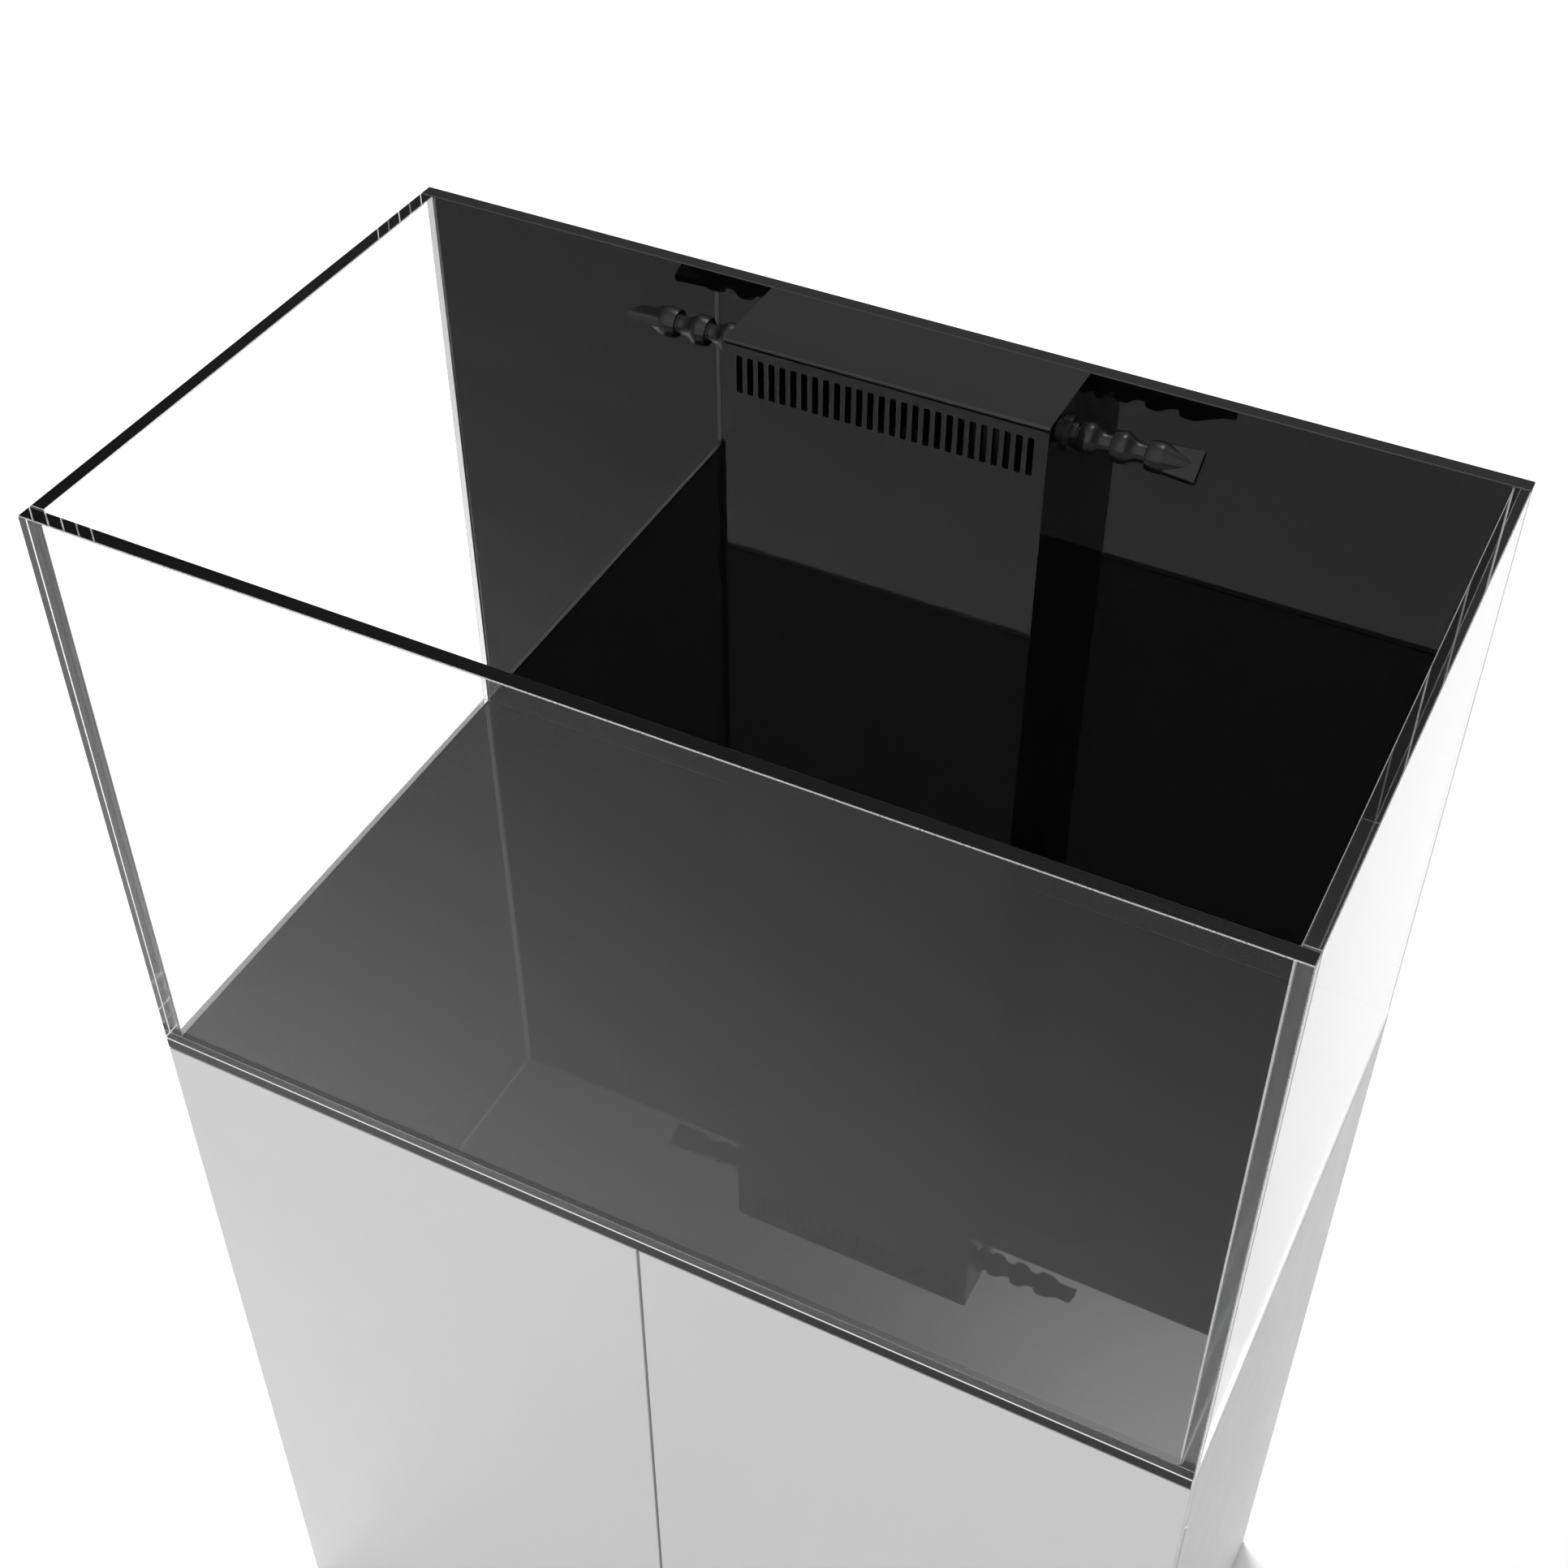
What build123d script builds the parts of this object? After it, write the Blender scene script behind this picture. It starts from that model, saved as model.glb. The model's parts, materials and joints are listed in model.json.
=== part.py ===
from build123d import *

import os
from math import sqrt

# Rimless glass aquarium with a rear overflow box, on a two-door cabinet that holds its sump.
# Millimetres, +Z up, -Y is the front. The origin is on the floor, under the footprint's centre.

# ---- Driving dimensions ----
WIDTH = 900.0
DEPTH = 500.0
CABINET_H = 900.0
TANK_H = 550.0

GLASS = 12.0
ARRIS = 0.7
JOINT = 1.0
BEAD = 1.5

BOX_W = 260.0
BOX_D = 80.0
BOX_WALL = 5.0
BOX_GROOVE = 0.8
COVER_T = 4.0
SLOT_W = 5.0
SLOT_H = 32.0
SLOT_CORNER = 1.2
SLOT_PITCH = 9.0
SLOT_COUNT = 27
SLOT_TOP_DROP = 12.0

NOZZLE_DROP = 29.0
BALL_R = 9.0
SOCKET_R = 9.4
SOCKET_RIM = 4.0
LIP_R = 11.0
BULB_R = 12.0
CREST = 5.0
NECK_R = 7.2
NECK_LENGTH = 3.0
NOZZLE_BORE = 4.5
BALL_AT = (14.0, 39.0, 65.5)
COLLAR_THREAD_R = 12.6
COLLAR_IN = 17.0
COLLAR_FLANGE = (14.0, 3.5)
COLLAR_RING = (9.6, 7.5)
NUT_T = 8.0
NUT_R = 17.0
BRANCH_SOCKET = 10.0
NOZZLE_END = 100.0
RIDGE_END = (95.0, 3.5)
FAN_ROOT = 73.0
FAN_ROOT_W = 22.0
FAN_W = 26.0
FAN_T = 8.0
FAN_CORNER = 2.0
FAN_WALL = 1.5
FAN_BORE_W = 8.0
RIGHT_FAN_ANGLE = 34.0
LEFT_FAN_ANGLE = 17.5

PIPE_R = 16.0
PIPE_BORE = 13.5
RUNNING = 0.05
BULKHEAD_PITCH = 75.0
BULKHEAD_THREAD_R = 24.0
BRANCH_R = 10.0
BRANCH_BORE = 8.0
FLANGE_R = 30.0
FLANGE_T = 6.0
GASKET_T = 2.0
SOCKET_OUTER_R = 19.5
SOCKET_ABOVE = 30.0
THREAD_BELOW = 32.0
PIPE_STOP = 5.0
BULKHEAD_NUT_R = 36.0
BULKHEAD_NUT_T = 14.0
DRAIN_PIPE_H = 440.0
EMERGENCY_PIPE_H = 463.0
CAP_T = 3.0
CAP_HOLE_R = 4.0
STRAINER_SLOT = (8.0, 4.0, 32.0)
TEE_DROP = 41.0
TEE_HALF = 25.0
TEE_R = 14.0
TEE_SOCKET = 12.0

BOARD = 18.0
TOP_BOARD = 25.0
MAT_T = 3.0
GLIDE_T = 3.0
DOOR_GAP = 2.5
DOOR_BACK_GAP = 1.0
DOOR_T = 17.0
DOOR_LOW = 6.0
DOOR_TOP_GAP = 2.0

HINGE_HEIGHTS = (100.0, 790.0)
HINGE_LENGTH = 60.0
HINGE_INSET = 1.0
KNUCKLE_R = 1.8
PIN_R = 0.9
LEAF_T = 1.2
LEAF_W = 14.0
KNUCKLE_ROOM = 2.4
KNUCKLE_GAP = 0.15
POCKET_ROOM = 0.5
SCREW_INSET = 8.5
SCREW_OFFSETS = (-20.0, 20.0)
SCREW_PROFILE = ((0, 0), (0, 2.6), (LEAF_T, 1.5), (12, 1.5), (12, 0))

RAIL_H = 100.0
GLIDE_R = 8.0
LATCH_X = 40.0
LATCH_DROP = 8.0
LATCH_HALF = 8.0
LATCH_Y = (-226.5, -180.0)
PLUNGER_R = 3.5
PLUNGER_TIP = (5.0, 3.0)
PLUNGER_END = 200.0

SUMP_X = (-165.0, 415.0)
SUMP_Y = (-150.0, 190.0)
SUMP_GLASS = 8.0
SUMP_TOP = 360.0
SOCK_AT = (-75.0, 110.0)
SOCK_R = 50.5
SOCK_WALL = 2.5
SOCK_LOW = 160.0
SOCK_RIM_R = 58.0
SOCK_RIM_T = 3.0
EMERGENCY_AT = (50.0, 130.0)
BAFFLE_T = 6.0
HOLDER_T = 6.0
HOLDER_Y = (44.0, 190.0)
HOLDER_END = 109.0
HOLE_ROOM = 1.0

VALVE_Z = 740.0
VALVE_HALF = 40.0
VALVE_R = 21.0
SOCKET_DEPTH = 20.0
GATE_HALF_W = 14.0
GATE_T = 8.0
GATE_Y = (142.0, 182.0)
GATE_RUNNING = 0.3
BONNET_WALL = 5.0
BONNET_HALF_H = 12.0
BONNET_Y = 134.0
NOSE_R = 9.0
NOSE_Y = 112.0
STEM_R = 2.5
STEM_TIP_Y = 179.0
WHEEL_Y = 103.0
WHEEL_R = 24.0
WHEEL_RIM_R = 4.0
SPOKE = (6.0, 5.0)
WHEEL_HUB_R = 8.0
VALVE_BALL_R = 18.0
VALVE_BALL_ROOM = 0.4
VALVE_BALL_WALL = 6.0
LEVER_STEM_R = 4.0
LEVER_STEM_IN = 4.0
LEVER_NECK = 34.0
LEVER = (15.0, 72.0, 7.0)
LEVER_RISE = 24.0
DRAIN_BENDS_Z = (650.0, 560.0)
DRAIN_BEND_R = 40.0
DRAIN_END = 325.0
EMERGENCY_END = 250.0
RETURN_BENDS_Z = (660.0, 480.0)
RETURN_BEND_R = 45.0

PUMP_Y = 20.0
PUMP_Z = 82.0
PUMP_OUT_X = 232.5
OUTLET_TOP = 170.0
OUTLET_R = 20.0
OUTLET_BORE = 12.0
VOLUTE_X = (212.0, 253.0)
VOLUTE_R = 38.0
VOLUTE_WALL = 5.0
INLET = (12.0, 15.0, 11.0)
MOTOR_X = (253.0, 350.0)
MOTOR_HALF_W = 42.0
MOTOR_HALF_H = 40.0
MOTOR_CORNER = 8.0
PUMP_LEG = 12.0
WELL_END = 330.0
ROTOR_X = (256.0, 325.0)
ROTOR_R = 16.0
ROTOR_ROOM = 1.4
SHAFT_R = 3.0
DISC_X = (239.0, 243.0)
DISC_R = 28.0
VANE_START = 221.0
VANE = (22.0, 2.5)
VANE_COUNT = 6
GLAND_R = 8.0
GLAND_LENGTH = 12.0

# ---- Places worked out from them ----
HALF_W = WIDTH / 2
FRONT_Y = -DEPTH / 2
BACK_Y = DEPTH / 2
RIM_Z = CABINET_H + TANK_H
FLOOR_Z = CABINET_H + GLASS
WALL_Z = (FLOOR_Z + JOINT, RIM_Z)
INNER_X = HALF_W - GLASS
INNER_FRONT = FRONT_Y + GLASS
INNER_BACK = BACK_Y - GLASS
BOX_FRONT = INNER_BACK - BOX_D
BOX_INNER_FRONT = BOX_FRONT + BOX_WALL
BOX_TOP = RIM_Z - COVER_T
CARCASS_FRONT = FRONT_Y + DOOR_T + DOOR_BACK_GAP
CARCASS_TOP = CABINET_H - MAT_T
INSIDE_X = HALF_W - BOARD
PLUMBING_Y = (BOX_INNER_FRONT + INNER_BACK) / 2
NOZZLE_Z = RIM_Z - NOZZLE_DROP
CUTOUT_X = (-122.0, 122.0)
CUTOUT_Y = (BOX_FRONT, INNER_BACK + 4.0)
DRAIN_X = -BULKHEAD_PITCH
RETURN_X = BULKHEAD_PITCH
PIPE_TOP = FLOOR_Z + PIPE_STOP
VALVE_LOW = VALVE_Z - VALVE_HALF
VALVE_HIGH = VALVE_Z + VALVE_HALF
SUMP_FLOOR = GLIDE_T + BOARD + SUMP_GLASS
HINGE_X = HALF_W - HINGE_INSET
HINGE_Y = CARCASS_FRONT - DOOR_BACK_GAP / 2
DOOR_BACK = FRONT_Y + DOOR_T
CABINET_LEAF_Y = (CARCASS_FRONT, CARCASS_FRONT + LEAF_T)
DOOR_LEAF_Y = (DOOR_BACK - LEAF_T, DOOR_BACK)
SCREW_X = HINGE_X - SCREW_INSET
TOP_PANEL_LOW = CARCASS_TOP - TOP_BOARD
LATCH_Z = TOP_PANEL_LOW - LATCH_DROP
NECK_TO_BALL = sqrt(BALL_R**2 - NECK_R**2)
BALL_TO_BORE = sqrt(BALL_R**2 - NOZZLE_BORE**2)
SOCKET_TO_BORE = sqrt(SOCKET_R**2 - NOZZLE_BORE**2)
RIM_OPENING = sqrt(SOCKET_R**2 - SOCKET_RIM**2)
FLANGE_Z = FLOOR_Z + GASKET_T
SOCKET_TOP = FLOOR_Z + SOCKET_ABOVE
THREAD_LOW = CABINET_H - THREAD_BELOW
BULKHEAD_XS = (-BULKHEAD_PITCH, 0.0, BULKHEAD_PITCH)
TEE_LOW = NOZZLE_Z - TEE_DROP
SUMP_WALL_Z = (SUMP_FLOOR, SUMP_TOP)
BAFFLES = ((103.0, SUMP_FLOOR, 290.0), (134.0, 60.0, 320.0), (165.0, SUMP_FLOOR, 250.0))

os.makedirs("parts", exist_ok=True)


def save(part, label):
    """Label one finished piece and write its file."""
    part.label = label
    export_step(part, f"parts/{label}.step")


# ---- Shapes that repeat ----
def block(x, y, z):
    """A plain board that fills three (low, high) spans."""
    with BuildPart(Plane(origin=((x[0] + x[1]) / 2, (y[0] + y[1]) / 2, z[0]))) as board:
        Box(
            x[1] - x[0],
            y[1] - y[0],
            z[1] - z[0],
            align=(Align.CENTER, Align.CENTER, Align.MIN),
        )
    return board.part


def pane(x, y, z):
    """A glass pane with its sharp arrises ground off."""
    with BuildPart() as glass:
        add(block(x, y, z))
        chamfer(glass.edges(), ARRIS)
    return glass.part


def tube(x, y, z, outer, inner):
    """An upright round tube over the span z."""
    with BuildPart() as pipe:
        with BuildSketch(Plane(origin=(x, y, z[0]))):
            Circle(outer)
            Circle(inner, mode=Mode.SUBTRACT)
        extrude(amount=z[1] - z[0])
    return pipe.part


def rod(plane, start, end, radius):
    """A round bar about the plane's x axis, from start to end along it."""
    with BuildPart() as bar:
        with BuildSketch(Plane(origin=plane.origin + plane.x_dir * start, z_dir=plane.x_dir)):
            Circle(radius)
        extrude(amount=end - start)
    return bar.part


def turned(profile, plane):
    """Revolve a closed outline of (along, radius) points about the plane's x axis."""
    with BuildPart() as piece:
        with BuildSketch(plane):
            with BuildLine():
                Polyline(*profile, close=True)
            make_face()
        revolve(axis=Axis(plane.origin, plane.x_dir))
    return piece.part


def bead(plane, length, leg):
    """A triangular bead of silicone, square legs along the plane's x and y."""
    with BuildPart() as strip:
        with BuildSketch(plane):
            with BuildLine():
                Polyline((0, 0), (leg, 0), (0, leg), close=True)
            make_face()
        extrude(amount=length)
    return strip.part


def upright(x, y, z=0.0):
    """The plane whose x axis runs up from a point."""
    return Plane(origin=(x, y, z), x_dir=(0, 0, 1), z_dir=(0, -1, 0))


def forward(x, y, z):
    """The plane whose x axis runs to the front from a point."""
    return Plane(origin=(x, y, z), x_dir=(0, -1, 0), z_dir=(1, 0, 0))


def sideways(x, y, z, side=1):
    """The plane whose x axis runs to one side from a point."""
    return Plane(origin=(x, y, z), x_dir=(side, 0, 0), z_dir=(0, -1, 0))


def bent_pipe(points, radius):
    """A pipe that starts downwards and follows straight runs joined by tangent arcs."""
    with BuildPart() as pipe:
        with BuildLine():
            FilletPolyline(*points, radius=radius)
        with BuildSketch(Plane(origin=points[0], z_dir=(0, 0, -1))):
            Circle(PIPE_R)
            Circle(PIPE_BORE, mode=Mode.SUBTRACT)
        sweep()
    return pipe.part


# ---- Tank ----
def make_bottom_pane():
    """The pane that everything stands on, drilled for three bulkhead fittings."""
    with BuildPart() as bottom:
        add(pane((-HALF_W, HALF_W), (FRONT_Y, BACK_Y), (CABINET_H, FLOOR_Z)))
        with BuildSketch(Plane(origin=(0, PLUMBING_Y, CABINET_H))):
            with GridLocations(BULKHEAD_PITCH, 0, 3, 1):
                Circle(BULKHEAD_THREAD_R + 1)
        extrude(amount=GLASS, mode=Mode.SUBTRACT)
    return bottom.part


def make_tank_silicone():
    """Joint strips under and between the walls, and hairline beads in the upright corners."""
    strip = GLASS - 2 * ARRIS
    mid_x = HALF_W - GLASS / 2
    side_end = INNER_BACK - JOINT
    bed_z = (FLOOR_Z, FLOOR_Z + JOINT)
    bead_h = RIM_Z - ARRIS - FLOOR_Z
    with BuildPart() as silicone:
        for side in (-1, 1):
            wall_y = side * (INNER_BACK + GLASS / 2)
            add(block((-HALF_W + ARRIS, HALF_W - ARRIS), (wall_y - strip / 2, wall_y + strip / 2), bed_z))
            wall_x = side * mid_x
            add(block((wall_x - strip / 2, wall_x + strip / 2), (-side_end, side_end), bed_z))
            for end in (-1, 1):
                joint_y = sorted((end * side_end, end * INNER_BACK))
                add(block((wall_x - strip / 2, wall_x + strip / 2), joint_y, WALL_Z))
                corner = Plane(
                    origin=(side * INNER_X, end * INNER_BACK, FLOOR_Z),
                    x_dir=(-side, 0, 0),
                    z_dir=(0, 0, side * end),
                )
                add(bead(corner, side * end * bead_h, BEAD))
    return silicone.part


# ---- Overflow box ----
def make_overflow_front():
    """The weir wall: one row of upright slots under the rim."""
    slot_z = RIM_Z - SLOT_TOP_DROP - SLOT_H / 2
    with BuildPart() as front:
        add(block((-BOX_W / 2, BOX_W / 2), (BOX_FRONT, BOX_INNER_FRONT), (FLOOR_Z, BOX_TOP)))
        with BuildSketch(Plane(origin=(0, BOX_FRONT, slot_z), x_dir=(1, 0, 0), z_dir=(0, -1, 0))):
            with GridLocations(SLOT_PITCH, 0, SLOT_COUNT, 1):
                RectangleRounded(SLOT_W, SLOT_H, SLOT_CORNER)
        extrude(amount=-BOX_WALL, mode=Mode.SUBTRACT)
    return front.part


def make_overflow_side(side):
    """A side wall of the box, drilled for its nozzle, with a groove where it meets the back."""
    inner = side * (BOX_W / 2 - BOX_WALL)
    x = sorted((inner, side * BOX_W / 2))
    with BuildPart() as wall:
        add(block(x, (BOX_INNER_FRONT, INNER_BACK), (FLOOR_Z, BOX_TOP)))
        rear_edge = (side * BOX_W / 2, INNER_BACK, (FLOOR_Z + BOX_TOP) / 2)
        chamfer(wall.edges().filter_by(Axis.Z).sort_by_distance(rear_edge)[0], BOX_GROOVE)
        with BuildSketch(Plane(origin=(x[0], PLUMBING_Y, NOZZLE_Z), z_dir=(1, 0, 0))):
            Circle(COLLAR_THREAD_R + RUNNING)
        extrude(amount=BOX_WALL, mode=Mode.SUBTRACT)
    return wall.part


def make_overflow_cover():
    """The lift-off lid, with a rounded nose and a lip that keeps it behind the weir."""
    lip_y = (BOX_INNER_FRONT + 0.5, BOX_INNER_FRONT + 4.5)
    with BuildPart() as cover:
        add(block((-BOX_W / 2, BOX_W / 2), (BOX_FRONT, INNER_BACK - 0.5), (BOX_TOP, RIM_Z)))
        nose = cover.edges().filter_by(Axis.X).group_by(Axis.Y)[0]
        fillet(nose, COVER_T / 2 - 0.1)
        lip_x = BOX_W / 2 - BOX_WALL - 5
        add(block((-lip_x, lip_x), lip_y, (BOX_TOP - 6, BOX_TOP)))
    return cover.part


# ---- Return nozzles: places along them are distances out from the box side ----
def nozzle_plane(side):
    """The nozzle's axis: x runs out from the box side."""
    return sideways(side * BOX_W / 2, PLUMBING_Y, NOZZLE_Z, side)


def make_nozzle_collar(side):
    """The fixed collar: thread through the box side, flange, ring and first ball."""
    plane = nozzle_plane(side)
    ball = BALL_AT[0]
    neck = ball - NECK_TO_BALL
    flange_r, flange_end = COLLAR_FLANGE
    ring_r, ring_end = COLLAR_RING
    with BuildPart() as collar:
        with BuildSketch(plane):
            with BuildLine():
                Polyline(
                    (ball + BALL_TO_BORE, NOZZLE_BORE),
                    (BRANCH_SOCKET - COLLAR_IN, NOZZLE_BORE),
                    (BRANCH_SOCKET - COLLAR_IN, BRANCH_R),
                    (-COLLAR_IN, BRANCH_R),
                    (-COLLAR_IN, COLLAR_THREAD_R),
                    (0, COLLAR_THREAD_R),
                    (0, flange_r),
                    (flange_end, flange_r),
                    (flange_end, ring_r),
                    (ring_end, ring_r),
                    (ring_end, NECK_R),
                    (neck, NECK_R),
                )
                ThreePointArc((neck, NECK_R), (ball, BALL_R), (ball + BALL_TO_BORE, NOZZLE_BORE))
            make_face()
        revolve(axis=Axis(plane.origin, plane.x_dir))
    return collar.part


def make_nozzle_nut(side):
    """The hexagon nut that clamps the collar from inside the box."""
    inner_face = side * (BOX_W / 2 - BOX_WALL)
    with BuildPart() as nut:
        with BuildSketch(Plane(origin=(inner_face, PLUMBING_Y, NOZZLE_Z), z_dir=(-side, 0, 0))):
            RegularPolygon(radius=NUT_R, side_count=6)
            Circle(COLLAR_THREAD_R, mode=Mode.SUBTRACT)
        extrude(amount=NUT_T)
    return nut.part


def make_nozzle_segment(side, index):
    """A segment: a socket over the ball before it, a bulb that draws in to a neck, and a ball."""
    plane = nozzle_plane(side)
    socket = BALL_AT[index]
    ball = BALL_AT[index + 1]
    lip = socket - SOCKET_RIM
    neck = ball - NECK_TO_BALL
    with BuildPart() as segment:
        with BuildSketch(plane):
            with BuildLine():
                Line((lip, RIM_OPENING), (lip, LIP_R))
                Spline(
                    (lip, LIP_R),
                    (socket + CREST, BULB_R),
                    (neck - NECK_LENGTH, NECK_R),
                    tangents=((1, 0.25), (1, 0)),
                )
                Line((neck - NECK_LENGTH, NECK_R), (neck, NECK_R))
                ThreePointArc((neck, NECK_R), (ball, BALL_R), (ball + BALL_TO_BORE, NOZZLE_BORE))
                Line((ball + BALL_TO_BORE, NOZZLE_BORE), (socket + SOCKET_TO_BORE, NOZZLE_BORE))
                ThreePointArc(
                    (socket + SOCKET_TO_BORE, NOZZLE_BORE), (socket, SOCKET_R), (lip, RIM_OPENING)
                )
            make_face()
        revolve(axis=Axis(plane.origin, plane.x_dir))
    return segment.part


def make_flare_nozzle(side, fan_angle):
    """The last piece: a socket whose cone dies into a flat fan with a slot mouth."""
    plane = nozzle_plane(side)
    socket = BALL_AT[2]
    lip = socket - SOCKET_RIM
    crest = socket + CREST
    bore_h = FAN_T - 2 * FAN_WALL

    def across(place):
        """The plane square to the nozzle at a distance along it."""
        return Plane(origin=plane.origin + plane.x_dir * place, x_dir=(0, 1, 0), z_dir=(side, 0, 0))

    with BuildPart() as flare:
        with BuildSketch(plane):
            with BuildLine():
                Line((lip, 0), (lip, LIP_R))
                Spline((lip, LIP_R), (crest, BULB_R), tangents=((1, 0.25), (1, 0)))
                Polyline((crest, BULB_R), (FAN_ROOT, BULB_R - 0.2), RIDGE_END, (RIDGE_END[0], 0), (lip, 0))
            make_face()
        revolve(axis=Axis(plane.origin, plane.x_dir))
        with BuildSketch(across(FAN_ROOT)):
            RectangleRounded(FAN_ROOT_W, FAN_T, FAN_CORNER, rotation=fan_angle)
        with BuildSketch(across(NOZZLE_END)):
            RectangleRounded(FAN_W, FAN_T, FAN_CORNER, rotation=fan_angle)
        loft()
        with BuildSketch(plane):
            with BuildLine():
                ThreePointArc(
                    (lip, RIM_OPENING), (socket, SOCKET_R), (socket + SOCKET_TO_BORE, NOZZLE_BORE)
                )
                Polyline(
                    (socket + SOCKET_TO_BORE, NOZZLE_BORE),
                    (FAN_ROOT + NOZZLE_BORE, NOZZLE_BORE),
                    (FAN_ROOT + NOZZLE_BORE, 0),
                    (lip, 0),
                    (lip, RIM_OPENING),
                )
            make_face()
        revolve(axis=Axis(plane.origin, plane.x_dir), mode=Mode.SUBTRACT)
        with BuildSketch(across(FAN_ROOT)):
            Rectangle(FAN_BORE_W, bore_h, rotation=fan_angle)
        with BuildSketch(across(NOZZLE_END)):
            Rectangle(FAN_W - 2 * FAN_WALL, bore_h, rotation=fan_angle)
        loft(mode=Mode.SUBTRACT)
    return flare.part


# ---- Plumbing in the overflow chamber and through the floor ----
def make_bulkhead_fittings():
    """Three fittings: a flange on the floor, sockets above and below."""
    profile = (
        (THREAD_LOW, PIPE_R),
        (THREAD_LOW, BULKHEAD_THREAD_R),
        (FLANGE_Z, BULKHEAD_THREAD_R),
        (FLANGE_Z, FLANGE_R),
        (FLANGE_Z + FLANGE_T, FLANGE_R),
        (FLANGE_Z + FLANGE_T, SOCKET_OUTER_R),
        (SOCKET_TOP, SOCKET_OUTER_R),
        (SOCKET_TOP, PIPE_R + RUNNING),
        (PIPE_TOP, PIPE_R + RUNNING),
        (PIPE_TOP, PIPE_BORE),
        (CABINET_H + PIPE_STOP, PIPE_BORE),
        (CABINET_H + PIPE_STOP, PIPE_R),
    )
    with BuildPart() as fittings:
        for x in BULKHEAD_XS:
            add(turned(profile, upright(x, PLUMBING_Y)))
    return fittings.part


def make_bulkhead_gaskets():
    """A rubber ring under each flange."""
    with BuildPart() as gaskets:
        for x in BULKHEAD_XS:
            add(tube(x, PLUMBING_Y, (FLOOR_Z, FLANGE_Z), FLANGE_R + 1, BULKHEAD_THREAD_R))
    return gaskets.part


def make_bulkhead_nuts():
    """Hexagon nuts that pull each fitting down on the glass."""
    with BuildPart() as nuts:
        with BuildSketch(Plane(origin=(0, PLUMBING_Y, CABINET_H))):
            with GridLocations(BULKHEAD_PITCH, 0, 3, 1):
                RegularPolygon(radius=BULKHEAD_NUT_R, side_count=6, rotation=30)
                Circle(BULKHEAD_THREAD_R, mode=Mode.SUBTRACT)
        extrude(amount=-BULKHEAD_NUT_T)
    return nuts.part


def make_drain_standpipe():
    """The main drain's standpipe, slotted near its closed top as a strainer."""
    top = FLOOR_Z + DRAIN_PIPE_H
    slot_depth, slot_w, slot_h = STRAINER_SLOT
    with BuildPart() as pipe:
        add(tube(DRAIN_X, PLUMBING_Y, (PIPE_TOP, top), PIPE_R, PIPE_BORE))
        add(tube(DRAIN_X, PLUMBING_Y, (top, top + CAP_T), PIPE_R, CAP_HOLE_R))
        with BuildSketch(Plane(origin=(DRAIN_X, PLUMBING_Y, top - slot_h - slot_depth))):
            with PolarLocations(PIPE_R, 8):
                Rectangle(slot_depth, slot_w)
        extrude(amount=slot_h, mode=Mode.SUBTRACT)
    return pipe.part


def make_return_pipes():
    """The riser and the two branches that feed the nozzles."""
    branch_end = BOX_W / 2 - COLLAR_IN + BRANCH_SOCKET
    with BuildPart() as pipes:
        add(tube(RETURN_X, PLUMBING_Y, (PIPE_TOP, TEE_LOW + SOCKET_DEPTH), PIPE_R, PIPE_BORE))
        for start, end in (
            (-branch_end, RETURN_X - TEE_HALF + TEE_SOCKET),
            (RETURN_X + TEE_HALF - TEE_SOCKET, branch_end),
        ):
            profile = ((start, BRANCH_BORE), (start, BRANCH_R), (end, BRANCH_R), (end, BRANCH_BORE))
            add(turned(profile, sideways(0, PLUMBING_Y, NOZZLE_Z)))
    return pipes.part


def make_return_tee():
    """The tee on the riser, with a socket for each branch."""
    across = sideways(RETURN_X, PLUMBING_Y, NOZZLE_Z)
    with BuildPart() as tee:
        add(tube(RETURN_X, PLUMBING_Y, (TEE_LOW, NOZZLE_Z), SOCKET_OUTER_R, BRANCH_BORE))
        add(rod(across, -TEE_HALF, TEE_HALF, TEE_R))
        add(rod(across, -TEE_HALF, TEE_HALF, BRANCH_BORE), mode=Mode.SUBTRACT)
        add(rod(across, -TEE_HALF, -TEE_HALF + TEE_SOCKET, BRANCH_R), mode=Mode.SUBTRACT)
        add(rod(across, TEE_HALF - TEE_SOCKET, TEE_HALF, BRANCH_R), mode=Mode.SUBTRACT)
        riser = upright(RETURN_X, PLUMBING_Y)
        add(rod(riser, TEE_LOW, TEE_LOW + SOCKET_DEPTH, PIPE_R), mode=Mode.SUBTRACT)
        add(rod(riser, TEE_LOW + SOCKET_DEPTH, NOZZLE_Z, BRANCH_BORE), mode=Mode.SUBTRACT)
    return tee.part


# ---- Valves and pipes under the tank ----
def make_valve_inlet_pipes():
    """Two equal pipes, from the drain and return fittings down to their valves."""
    with BuildPart() as pipes:
        for x in (DRAIN_X, RETURN_X):
            span = (VALVE_HIGH - SOCKET_DEPTH, CABINET_H + PIPE_STOP)
            add(tube(x, PLUMBING_Y, span, PIPE_R, PIPE_BORE))
    return pipes.part


def cut_valve_bores(x):
    """The two sockets and the bore between them, as one solid to cut with."""
    axis = upright(x, PLUMBING_Y)
    with BuildPart() as bores:
        add(rod(axis, VALVE_LOW, VALVE_HIGH, PIPE_BORE))
        add(rod(axis, VALVE_LOW, VALVE_LOW + SOCKET_DEPTH, PIPE_R))
        add(rod(axis, VALVE_HIGH - SOCKET_DEPTH, VALVE_HIGH, PIPE_R))
    return bores.part


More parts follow.
